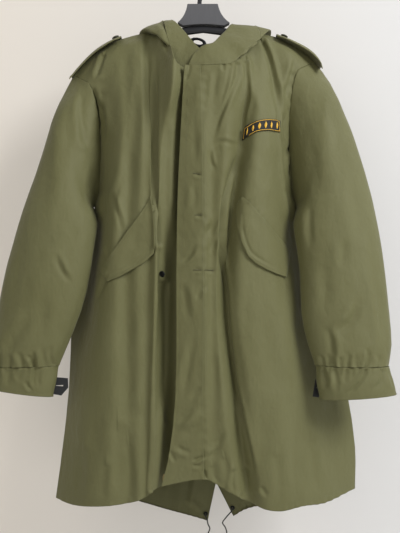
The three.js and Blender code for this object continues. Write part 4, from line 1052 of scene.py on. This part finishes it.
def cloth_piece(name, material, slot="shell_cloth"):
    """A thin cloth shell on the form of the node's solid, creased and thickened."""
    cloth = bpy.context.scene.parka_cloth
    row = SHEETS[name]
    wall = row["wall"] * MM
    bm = outer_sheet(name, wall, WAYS[row["faces"]])
    diagonal, down = edge_families(bm)
    bmesh.ops.dissolve_edges(bm, edges=list(diagonal), use_verts=False)
    if row["cuts"]:
        cut = [e for e in list(down) if e.is_valid]
        bmesh.ops.subdivide_edges(bm, edges=cut, cuts=row["cuts"], use_grid_fill=True)
    mesh = subdivided(name + "_cloth", bm, row["levels"])
    crease_cloth(mesh, name, cloth.unevenness if row["uneven"] == "-" else row["uneven"])
    low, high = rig.box(name)
    lay_cut(mesh, (low + high) / 2 if name.startswith(("sleeve", "cuff")) else None)
    obj = new_object(name + "_cloth", mesh, material)
    shell = obj.modifiers.new("thickness", "SOLIDIFY")
    shell.thickness = min(cloth.thickness, WALL_SHARE * wall)
    shell.offset = -1
    shell.use_rim_only = True
    settle(obj, slot, name)
    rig.sheet(
        obj, flat=(row["width"], row["length"]), held=row["held"],
        rests_on=row["rests_on"].split("+"), area=row["area"],
    )


# ---- stitching

FAR = 0.6  # how far off the rays at the cloth start
LIFT = 0.25  # how far a stitch stands off the cloth, in its heights


def surface(name):
    """A tree of a finished cloth piece's outer face to lay sewing on."""
    bm = bmesh.new()
    bm.from_mesh(bpy.data.objects[name + "_cloth"].data)
    tree = BVHTree.FromBMesh(bm)
    bm.free()
    return tree


def laid(tree, point, way):
    """The foremost point and normal of a surface under a point, looking along way."""
    place, normal, _, _ = tree.ray_cast(Vector(point) - way * FAR, way)
    return place and (place, normal if normal.dot(way) < 0 else -normal)


def stitch_places(tree, route, way, pitch):
    """Points, normals and directions every pitch along a route of (x, z) in mm."""
    fine = smooth_route(route, 2.0) * MM
    done, found = 0.0, []
    for a, b in zip(fine, fine[1:]):
        size = float(np.linalg.norm(b - a))
        while done <= size:
            x, z = a + (b - a) * (done / max(size, 1e-9))
            seat = laid(tree, (x, 0, z), way)
            if seat:
                found.append(seat)
            done += pitch
        done -= size
    return [
        (place, normal, (after[0] - place).normalized())
        for (place, normal), after in zip(found, found[1:])
        if 1e-6 < (after[0] - place).length < 4 * pitch
    ]


def stitched(name, runs, material, slot="shell_cloth"):
    """One object of thread lozenges: each run has places, a lozenge's length, width and
    height, and its turn from the way the run goes."""
    ball = bmesh.new()
    bmesh.ops.create_icosphere(ball, subdivisions=1, radius=1)
    unit = as_mesh("stitch", ball)
    bm = bmesh.new()
    for places, (length, width, height), turn in runs:
        for place, normal, along in places:
            flat = (along - normal * along.dot(normal)).normalized()
            flat = Matrix.Rotation(turn, 3, normal) @ flat
            side = normal.cross(flat)
            basis = Matrix((flat * length / 2, side * width / 2, normal * height / 2)).transposed()
            one = unit.copy()
            one.transform(Matrix.Translation(place + normal * height * LIFT) @ basis.to_4x4())
            bm.from_mesh(one)
            bpy.data.meshes.remove(one)
    bpy.data.meshes.remove(unit)
    settle(from_bmesh(name, bm, material), slot)


def beside(route, distance):
    """A route moved sideways, to the right going along it."""
    given = [Vector(p) for p in route]
    moved = []
    for i, point in enumerate(given):
        way = (given[min(i + 1, len(given) - 1)] - given[max(i - 1, 0)]).normalized()
        moved.append(tuple(point + Vector((way.y, -way.x)) * distance))
    return moved


SEAMS = table("seam", """
storm_edge -27,-216 -28,-300 -32,-480 -41,-640 -45,-860 -58,-970 -71,-1028
storm_seam 2,-216 4,-310 7,-480 8,-640 6,-860 8,-970 9,-1016
flap_right_sewn -93,-471 -119,-509 -146,-545 -172,-582 -196,-611
flap_right_free -88,-493 -88,-538 -91,-579 -132,-610 -181,-634 -195,-616
flap_left_sewn 86,-471 109,-497 133,-524 158,-551 181,-576
flap_left_free 78,-485 78,-531 96,-585 130,-609 170,-625
neck -44,-211 -14,-215.5 30,-215 60,-211
right_hem -70,-1036 -104,-1054 -141,-1068 -212,-1076 -290,-1083
left_hem -60,-1030 10,-1016 42,-1033 75,-1051 126,-1075 160,-1079 203,-1073 251,-1075 312,-1064
right_tail 15,-1156 -22,-1145 -74,-1132 -131,-1112 -196,-1097 -250,-1086
left_tail 77,-1148 97,-1133 136,-1123 184,-1107 244,-1091 290,-1078
middle_back -4,-280 0,-480 20,-860 28,-1070
right_cuff_hem -424,-840 -362,-851 -298,-856
right_cuff_seam -424,-812 -352,-812 -290,-812
left_cuff_hem 242,-858 310,-856 378,-849
left_cuff_seam 236,-810 300,-810 368,-810
""")
SEAMS = {row["seam"]: row["route"] for row in SEAMS}

# The rows of stitching: the piece, the seam and how far to its right, in millimetres.

FRONT_ROWS = table("piece seam aside", """
storm_flap storm_edge -4
storm_flap storm_seam 2
front_left storm_seam -7
pocket_flap_right flap_right_sewn -3
pocket_flap_right flap_right_free 3
pocket_flap_left flap_left_sewn 3
pocket_flap_left flap_left_free -4
front_right right_hem 9
front_left left_hem -9
hood_band neck -4
hood_band neck -9
cuff_right right_cuff_hem 0
cuff_right right_cuff_seam 0
cuff_left left_cuff_hem 0
cuff_left left_cuff_seam 0
""")
BACK_ROWS = table("piece seam aside", """
back_right right_tail 6
back_left left_tail -6
back_right right_tail 20
back_left left_tail -20
back_right middle_back 0
cuff_right right_cuff_hem 0
cuff_left left_cuff_hem 0
""")
BAR_TACKS = table("piece", """
storm_flap -12,-425 4,-427
storm_flap -9,-506 6,-506
storm_flap -12,-613 5,-613
front_left 10,-613 28,-614
""")
TACK_PITCH, TACK_SIZE = 0.0009, (0.0034, 0.0008, 0.0009)


class PARKA_OT_sewing(bpy.types.Operator):
    """Lay the rows of stitching on the cloth"""

    bl_idname = "parka.sewing"
    bl_label = "Sewing"

    def execute(self, context):
        props = context.scene.parka_sewing
        size = (props.stitch, props.thread, props.thread * 0.7)
        for name, rows, way in (
            ("stitching_fronts", FRONT_ROWS, INTO),
            ("stitching_back", BACK_ROWS, OUT_OF),
        ):
            trees = {row["piece"]: surface(row["piece"]) for row in rows}
            runs = []
            for row in rows:
                route = beside(SEAMS[row["seam"]], row["aside"])
                places = stitch_places(trees[row["piece"]], route, way, props.pitch)
                runs.append((places, size, 0.0))
            stitched(name, runs, olive_thread())
        runs = [
            (stitch_places(surface(row["piece"]), row["route"], INTO, TACK_PITCH), TACK_SIZE,
             math.pi / 2)
            for row in BAR_TACKS
        ]
        stitched("bar_tacks", runs, olive_thread())
        return {"FINISHED"}


# ---- cloth operators


class ShellCloth:
    """What the operators of plain shell cloth share: each names its pieces."""

    def execute(self, context):
        for name in self.pieces.split():
            cloth_piece(name, shell_material())
        return {"FINISHED"}


class PARKA_OT_body(ShellCloth, bpy.types.Operator):
    """Make the cloth of the fronts, back, storm flap and pocket flaps"""

    bl_idname = "parka.body"
    bl_label = "Body Cloth"
    pieces = """front_right front_left storm_flap back_right back_left
        pocket_flap_right pocket_flap_left"""


class PARKA_OT_sleeves(ShellCloth, bpy.types.Operator):
    """Make the cloth of the sleeves and cuffs"""

    bl_idname = "parka.sleeves"
    bl_label = "Sleeves and Cuffs"
    pieces = """sleeve_front_right sleeve_back_right cuff_right
        sleeve_front_left sleeve_back_left cuff_left"""


class PARKA_OT_hood(ShellCloth, bpy.types.Operator):
    """Make the cloth of the fallen hood and the band round its opening"""

    bl_idname = "parka.hood"
    bl_label = "Hood"
    pieces = "hood_right hood_left hood_band"


def joined_quads(name):
    """A frame node's solid as a merged copy with its flat faces made whole."""
    bm = merged_copy(name)
    bmesh.ops.dissolve_limit(
        bm, angle_limit=math.radians(1.0), verts=bm.verts, edges=bm.edges,
        use_dissolve_boundaries=False,
    )
    return bm


def bevelled(name, bm, material, slot, nodes, width, segments=3, angle=32):
    """A solid with softened edges, standing for its nodes."""
    obj = from_bmesh(name, bm, material)
    soft = obj.modifiers.new("soft_edges", "BEVEL")
    soft.width, soft.segments, soft.limit_method = width, segments, "ANGLE"
    soft.angle_limit = math.radians(angle)
    obj.data.set_sharp_from_angle(angle=math.radians(angle))
    return settle(obj, slot, *nodes)


def seat(name, way):
    """A node's corners, their middle and the normal of its face that looks along way."""
    bm = merged_copy(name)
    corners = [v.co.copy() for v in bm.verts]
    out = sorted(bm.faces, key=lambda f: f.normal.dot(way))[-1].normal.copy()
    bm.free()
    return corners, sum(corners, Vector()) / len(corners), out


def turned(name, profile, size, centre, out, material):
    """A round fitting turned from points of its profile, radius and height, in sizes."""
    bm = bmesh.new()
    verts = [bm.verts.new((r * size[0], 0, h * size[1])) for r, h in profile]
    edges = [bm.edges.new(pair) for pair in zip(verts, verts[1:])]
    bmesh.ops.spin(
        bm, geom=verts + edges, cent=(0, 0, 0), axis=UP, angle=math.tau, steps=TURNED_SIDES,
        use_merge=True,
    )
    bmesh.ops.remove_doubles(bm, verts=bm.verts, dist=10 * SAME_POINT)
    bmesh.ops.recalc_face_normals(bm, faces=bm.faces)
    move = Matrix.Translation(centre) @ UP.rotation_difference(out).to_matrix().to_4x4()
    bm.transform(move)
    return from_bmesh(name, bm, material), move


TURNED_SIDES = 28
BUTTON_PROFILE = points("0,-0.5 0.86,-0.5 1,-0.15 1,0.3 0.93,0.5 0.82,0.46 0.7,0.12 0,0.08")
SNAP_PROFILE = points(
    "0,-0.9 6.2,-0.9 6.5,-0.2 6.1,0.6 5.0,1.1 3.9,0.7 3.4,0.0 1.7,0.05 1.3,0.5 0,0.7"
)


class PARKA_OT_shoulders(bpy.types.Operator):
    """Make the shoulder loops and their buttons"""

    bl_idname = "parka.shoulders"
    bl_label = "Shoulder Loops"

    def execute(self, context):
        for side in ("right", "left"):
            cloth_piece("shoulder_loop_" + side, shell_material())
            self.button("button_" + side, "shoulder_button_" + side)
        return {"FINISHED"}

    def button(self, name, node_name):
        """A button with a raised rim, sewn on with crossed threads."""
        corners, centre, out = seat(node_name, UP)
        half = max((co - centre).dot(out) for co in corners)
        reach = max((co - centre).length for co in corners)
        radius = math.sqrt(reach ** 2 - half ** 2)
        plastic = moulded_material(
            "button_plastic", bpy.context.scene.parka_fittings.button, 0.3, 0.2
        )
        size = (radius, 2 * half)
        obj, move = turned(name, BUTTON_PROFILE, size, centre, out, plastic)
        obj.data.set_sharp_from_angle(angle=math.radians(40))
        settle(obj, "button_plastic", node_name)
        middle = move @ Vector((0, 0, 0.2 * half))
        side = (move.to_3x3() @ Vector((1, 1, 0))).normalized()
        threads = [(middle, out, side), (middle, out, out.cross(side))]
        runs = [(threads, (0.8 * radius, 0.0011, 0.0012), 0.0)]
        stitched(name + "_thread", runs, olive_thread())


PATCH_TOP = points("89.5,-333.5 112,-322.5 137,-316.5 159.5,-315.5")
PATCH_LOW = points("87,-354 110.5,-341.5 136,-336.5 159.5,-336.5")
PATCH_LOZENGES = table("width", """
4.5 95,-333 93,-347
6.5 105.5,-328.5 104.5,-341
9 118,-324 117,-337
9 130.5,-321 130,-334.5
9 142.5,-319.5 142,-333.5
7.5 154,-319 154,-333
""")
PATCH_THREADS = 15  # in a lozenge
LOZENGE_THREAD = (0.0011, 0.0013)  # the width and height of each
LEAST_THREAD = 0.0008  # the least length of one
BORDER_PITCH, BORDER_SIZE = 0.0008, (0.0017, 0.0009, 0.0010)
BORDER_TURN = math.pi / 2 + 0.3


class PARKA_OT_patch(bpy.types.Operator):
    """Make the curved chest patch with its plain embroidery"""

    bl_idname = "parka.patch"
    bl_label = "Chest Patch"

    def execute(self, context):
        twill = cloth_material(
            "patch_twill", (0.012, 0.012, 0.011), (0.03, 0.03, 0.027), 0.15, 0.05
        )
        cloth_piece("chest_patch", twill, "patch_twill")
        tree = surface("chest_patch")
        top, low = PATCH_TOP, PATCH_LOW
        runs = [
            (stitch_places(tree, route, INTO, BORDER_PITCH), BORDER_SIZE, BORDER_TURN)
            for route in (top, low[::-1], [top[-1], low[-1]], [low[0], top[0]])
        ]
        for row in PATCH_LOZENGES:
            start, end = map(Vector, row["route"])
            for i in range(PATCH_THREADS):
                part = (i + 0.5) / PATCH_THREADS
                middle = start.lerp(end, part)
                place = laid(tree, (middle.x * MM, 0, middle.y * MM), INTO)
                if not place:
                    continue
                along = Vector((1, 0, 0.16 + 0.002 * middle.x))
                length = max(row["width"] * MM * (1 - abs(2 * part - 1) ** 1.5), LEAST_THREAD)
                runs.append(([(*place, along)], (length, *LOZENGE_THREAD), 0.0))
        yellow = thread_material("thread_yellow", context.scene.parka_sewing.patch)
        stitched("patch_embroidery", runs, yellow, "patch_twill")
        return {"FINISHED"}


# ---- fittings

TOOTH_SIZE = (0.0044, 0.0030, 0.0019)
TOOTH_TIP = 0.6  # how thick a tooth's tip is, by its root
TOOTH_HOLD = 0.0008  # how far it stands in over the tape's edge
EDGE_STEP = 0.004  # the spacing of the points of the tape's edge


class PARKA_OT_zip(bpy.types.Operator):
    """Make the zip's tapes, teeth and box and the front's snap"""

    bl_idname = "parka.zip"
    bl_label = "Zip and Snap"

    def execute(self, context):
        cloth, fittings = context.scene.parka_cloth, context.scene.parka_fittings
        tape = cloth_material("zip_tape", [c * 0.62 for c in cloth.shell], cloth.shell, 0.2, 0.1)
        brass = moulded_material("zip_metal", fittings.brass, 0.34, 0.4, 1.0, 1.3)
        for side, inwards in (("right", -1), ("left", 1)):
            cloth_piece("zip_tape_" + side, tape, "zip_tape")
            self.teeth(side, inwards, fittings.tooth, brass)
        self.box(brass)
        _, centre, out = seat("snap_stud", OUT_OF)
        cup, _ = turned("snap_cup", SNAP_PROFILE, (MM, MM), centre, out, dark_metal())
        settle(cup, "dark_metal", "snap_stud")
        return {"FINISHED"}

    def teeth(self, side, inwards, spacing, brass):
        """Teeth clasp the free edge of a tape, one every spacing down it."""
        mesh = bpy.data.objects[f"zip_tape_{side}_cloth"].data
        rows = {}
        for co in sorted((v.co for v in mesh.vertices), key=lambda co: -co.z):
            key = round(co.z / EDGE_STEP)
            if key not in rows or (co.x > rows[key].x) == (side == "right"):
                rows[key] = co.copy()
        edge = [rows[key] for key in sorted(rows, reverse=True)]
        bm = bmesh.new()
        done = 0.0
        for a, b in zip(edge, edge[1:]):
            size = (b - a).length
            while done < size:
                place = a.lerp(b, done / size) - Vector((inwards * TOOTH_HOLD, 0, 0))
                matrix = Matrix.Translation(place) @ Matrix.Diagonal((*TOOTH_SIZE, 1))
                made = bmesh.ops.create_cube(bm, size=1, matrix=matrix)["verts"]
                tips = [v for v in made if (v.co.x - place.x) * inwards < 0]
                bmesh.ops.scale(
                    bm, vec=(1, TOOTH_TIP, TOOTH_TIP), verts=tips, space=Matrix.Translation(-place)
                )
                done += spacing
            done -= size
        settle(from_bmesh("zip_teeth_" + side, bm, brass), "zip_metal")

    def box(self, brass):
        """The zip's box, with a sunk front, and its slider above it."""
        bm = joined_quads("zip_box")
        low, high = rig.box("zip_box")
        front = [f for f in bm.faces if f.normal.y < -0.9]
        bmesh.ops.inset_region(bm, faces=front, thickness=0.0012, depth=-0.0006)
        bevelled("zip_box_brass", bm, brass, "zip_metal", ["zip_box"], 0.0006)
        pull = bmesh.new()
        place = Matrix.Translation(((low.x + high.x) / 2, low.y - 0.0003, high.z - 0.001))
        matrix = place @ Matrix.Diagonal((0.0042, 0.0012, 0.009, 1))
        bmesh.ops.create_cube(pull, size=1, matrix=matrix)
        bevelled("zip_slider", pull, brass, "zip_metal", [], 0.0005, 2)


# Drawcord routes, the same points as the solids follow, in millimetres.

CORDS = table("side", """
right 13,75.5,-1147 13.5,70,-1150 16.5,68.5,-1157 18.5,69,-1167 22.5,72,-1177 \
18.5,72,-1188 13,72,-1203 12,73,-1228 17,72,-1252 15,72,-1278 13,72,-1298
left 72.5,75.5,-1134 71,70,-1137 66,68.5,-1142.5 57,69,-1153 50,70,-1164 \
56,71,-1174 59.5,72,-1188 57,72,-1207 61,72,-1234 58,72,-1262 59,72,-1286
""")
KNOT_STEPS = 48


def tube(name, places, radius, material):
    """A round cord as a curve of one open spline."""
    curve = bpy.data.curves.new(name, "CURVE")
    curve.dimensions, curve.use_fill_caps = "3D", True
    curve.bevel_depth, curve.bevel_resolution = radius, 3
    spline = curve.splines.new("POLY")
    spline.points.add(len(places) - 1)
    for point, place in zip(spline.points, places):
        point.co = (*place, 1)
    curve.materials.append(material)
    return linked(name, curve)


class PARKA_OT_drawcords(bpy.types.Operator):
    """Make the tail's drawcords with their knots and the hem eyelets"""

    bl_idname = "parka.drawcords"
    bl_label = "Drawcords"

    def execute(self, context):
        thick = context.scene.parka_fittings.cord
        braid = thread_material("cord", (0.035, 0.036, 0.028))
        for row in CORDS:
            side = row["side"]
            places = smooth_curve([Vector(p) * MM for p in row["route"]], 0.004)
            obj = tube("drawcord_" + side, places, thick / 2, braid)
            settle(obj, "cord", "hem_cord_" + side)
            length = sum((b - a).length for a, b in zip(places, places[1:]))
            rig.cord(
                obj, exit=places[0], length=round(length, 3), diameter=thick, far_end="knot",
                stiffness="limp", lay="hanging", with_pieces=[self.knot(side, thick / 2, braid)],
            )
            eyelet = "hem_eyelet_" + side
            bm = merged_copy(eyelet)
            bmesh.ops.recalc_face_normals(bm, faces=bm.faces)
            bevelled("eyelet_" + side, bm, dark_metal(), "dark_metal", [eyelet], 0.0004, 3, 25)
        return {"FINISHED"}

    def knot(self, side, radius, braid):
        """A knot of one closed run of cord, in the knot's solid."""
        low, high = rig.box("hem_knot_" + side)
        centre, reach = (low + high) / 2, (high.x - low.x) / 2
        loops = []
        for i in range(KNOT_STEPS + 1):
            t = math.tau * i / KNOT_STEPS
            turn = Vector((
                math.sin(t) + 2 * math.sin(2 * t), -math.sin(3 * t) * 1.1,
                math.cos(t) - 2 * math.cos(2 * t),
            ))
            loops.append(centre + turn * (reach - radius) / 3)
        knot = tube("knot_" + side, loops, radius * 0.92, braid)
        return settle(knot, "cord", "hem_knot_" + side)


TAB_SLANT = 0.0085  # how far a cuff tab's slanting sewn end reaches along it
TAB_TUCK = 0.0055  # how far that end is tucked in under its cuff
LOOP_FULLNESS = 0.0017  # how far the loop's ribbon swells out from its solid


class PARKA_OT_tabs(bpy.types.Operator):
    """Make the black cuff tabs and the hanging loop"""

    bl_idname = "parka.tabs"
    bl_label = "Tabs and Hanging Loop"

    def execute(self, context):
        tape = context.scene.parka_cloth.tape
        black = cloth_material("dark_cloth", tape, [c * 2.2 for c in tape], 0.2, 0.1)
        for side in ("right", "left"):
            name = "cuff_tab_" + side
            bm = joined_quads(name)
            low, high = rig.box("cuff_" + side)
            middle = (low.x + high.x) / 2
            sewn_end = min(abs(v.co.x - middle) for v in bm.verts) + TAB_SLANT
            for vert in bm.verts:
                if abs(vert.co.x - middle) < sewn_end:
                    vert.co.x -= math.copysign(TAB_TUCK, vert.co.x - middle)
            tab = bevelled(name + "_tape", bm, black, "dark_cloth", [name], 0.0009)
            lay_cut(tab.data)
        name = "hang_loop_tape"
        loop = new_object(name, as_mesh(name, merged_copy("hang_loop")), black)
        full = loop.modifiers.new("full", "DISPLACE")
        full.strength, full.mid_level = LOOP_FULLNESS, 0.0
        soft = loop.modifiers.new("smooth", "SUBSURF")
        soft.levels = soft.render_levels = 2
        lay_cut(loop.data)
        settle(loop, "dark_cloth", "hang_loop")
        return {"FINISHED"}


class PARKA_OT_hanger(bpy.types.Operator):
    """Make the hanger's arms, head and hook"""

    bl_idname = "parka.hanger"
    bl_label = "Hanger"

    def execute(self, context):
        fittings = context.scene.parka_fittings
        black = moulded_material("hanger_black", fittings.black, 0.36, 0.5)
        grey = moulded_material("hanger_grey", fittings.grey, 0.4, 0.5, 0.0, 1.3)
        for name, material, slot, width in (
            ("hanger_arms", black, "hanger_black", 0.0011),
            ("hanger_head", grey, "hanger_grey", 0.0013),
            ("hanger_hook", black, "hanger_black", 0.0012),
        ):
            bm = joined_quads(name)
            bevelled(name + "_moulded", bm, material, slot, [name], width, 3, 24)
        return {"FINISHED"}


# ---- stage


def painted(name, roughness):
    """A plain material and its shader's inputs."""
    made = bpy.data.materials.new(name)
    made.use_nodes = True
    inputs = made.node_tree.nodes["Principled BSDF"].inputs
    inputs["Roughness"].default_value = roughness
    return made, inputs


def wall_material(stage):
    """A wall that shades from warm to cool, glows in its own tone as painted light that fills the coat's shadow on it,
    and is clear from behind.
    """
    made, inputs = painted("wall_paint_and_glow", 0.9)
    tree = made.node_tree
    place = node(tree, "ShaderNodeTexCoord").outputs["Object"]
    parts = node(tree, "ShaderNodeSeparateXYZ", {0: place}).outputs
    across = maths(tree, "MULTIPLY_ADD", parts[0], 1.1, 0.5)
    tone = mixed_colour(tree, across, tuple(stage.warm), tuple(stage.cool))
    tree.links.new(tone, inputs["Base Color"])
    # The wall's glow in its own tone is painted light: it lifts the wall where the coat's shadow falls on it.
    tree.links.new(tone, inputs["Emission Color"])
    inputs["Emission Strength"].default_value = 0.55
    seen = {
        0: node(tree, "ShaderNodeNewGeometry").outputs["Backfacing"],
        1: tree.nodes["Principled BSDF"].outputs[0],
        2: node(tree, "ShaderNodeBsdfTransparent").outputs[0],
    }
    mix = node(tree, "ShaderNodeMixShader", seen).outputs[0]
    tree.links.new(mix, tree.nodes["Material Output"].inputs[0])
    return made


def flat_plane(name, matrix, material):
    bm = bmesh.new()
    bmesh.ops.create_grid(bm, x_segments=1, y_segments=1, size=STAGE_SIZE / 2, matrix=matrix)
    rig.stage(from_bmesh(name, bm, material))


STAGE_SIZE = 6.0
WALL_PLACE, FLOOR_PLACE = (0, 0.175, -0.6), (0, -1.2, -1.42)
LENS, CAMERA_X, CAMERA_Z = 48.7, 0.001, -0.606
# Each light: its name, place and target, its size, power and colour.
LIGHTS = (
    ("window", (2.2, -1.8, 1.3), (0, 0, -0.5), 1.3, 92, (0.97, 0.985, 1.0)),
    ("room", (-1.2, -2.6, 0.4), (0, 0, -0.6), 2.0, 16, (1.0, 0.92, 0.80)),
)


class PARKA_OT_stage(bpy.types.Operator):
    """Set up the wall, the floor, the lights and the camera"""

    bl_idname = "parka.stage"
    bl_label = "Stage"

    def execute(self, context):
        scene, stage = context.scene, context.scene.parka_stage
        upright = Matrix.Translation(WALL_PLACE) @ Matrix.Rotation(math.pi / 2, 4, "X")
        flat_plane("wall", upright, wall_material(stage))
        floor, inputs = painted("floor_paint", 0.8)
        inputs["Base Color"].default_value = (0.66, 0.65, 0.63, 1)
        flat_plane("floor", Matrix.Translation(FLOOR_PLACE), floor)
        for name, place, target, size, power, colour in LIGHTS:
            data = bpy.data.lights.new(name, "AREA")
            data.energy, data.size, data.color = power, size, colour
            lamp = linked(name, data)
            lamp.location = place
            way = Vector(target) - Vector(place)
            lamp.rotation_euler = way.to_track_quat("-Z", "Y").to_euler()
        scene.world = bpy.data.worlds.new("room")
        scene.world.use_nodes = True
        sky = scene.world.node_tree.nodes["Background"].inputs
        sky["Color"].default_value, sky["Strength"].default_value = (0.92, 0.96, 1.0, 1), 0.36
        camera = scene.camera = linked("camera", bpy.data.cameras.new("camera"))
        camera.data.lens, camera.data.clip_end = LENS, 20
        camera.location = (CAMERA_X, -stage.camera_distance, CAMERA_Z)
        camera.rotation_euler = (math.pi / 2, 0, 0)
        scene.view_settings.view_transform = "Standard"
        return {"FINISHED"}


# ---- panel

OPERATORS = (
    PARKA_OT_stage, PARKA_OT_drawcords, PARKA_OT_body, PARKA_OT_sleeves, PARKA_OT_hood,
    PARKA_OT_shoulders, PARKA_OT_patch, PARKA_OT_zip, PARKA_OT_tabs, PARKA_OT_hanger,
    PARKA_OT_sewing,
)
SETTINGS = {
    "parka_cloth": ParkaCloth,
    "parka_sewing": ParkaSewing,
    "parka_fittings": ParkaFittings,
    "parka_stage": ParkaStage,
}


class PARKA_PT_panel(bpy.types.Panel):
    """Lists the parka's settings and operators"""

    bl_label = "Fishtail Parka"
    bl_idname = "PARKA_PT_panel"
    bl_space_type = "VIEW_3D"
    bl_region_type = "UI"
    bl_category = "Parka"

    def draw(self, context):
        for key, group in SETTINGS.items():
            column = self.layout.column()
            for prop in group.__annotations__:
                column.prop(getattr(context.scene, key), prop)
        for operator in OPERATORS:
            self.layout.operator(operator.bl_idname)


CLASSES = (*SETTINGS.values(), *OPERATORS, PARKA_PT_panel)


def register():
    for cls in CLASSES:
        bpy.utils.register_class(cls)
    for key, group in SETTINGS.items():
        setattr(bpy.types.Scene, key, bpy.props.PointerProperty(type=group))


def unregister():
    for key in SETTINGS:
        delattr(bpy.types.Scene, key)
    for cls in reversed(CLASSES):
        bpy.utils.unregister_class(cls)


def main():
    register()
    for operator in OPERATORS:
        family, action = operator.bl_idname.split(".")
        getattr(getattr(bpy.ops, family), action)()
    boxes = [[list(corner) for corner in box] for box in (CAD_BOX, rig.bounds())]
    with open("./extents.json", "w") as file:
        json.dump({"cad": boxes[0], "visual": boxes[1]}, file)


if __name__ == "__main__":
    main()
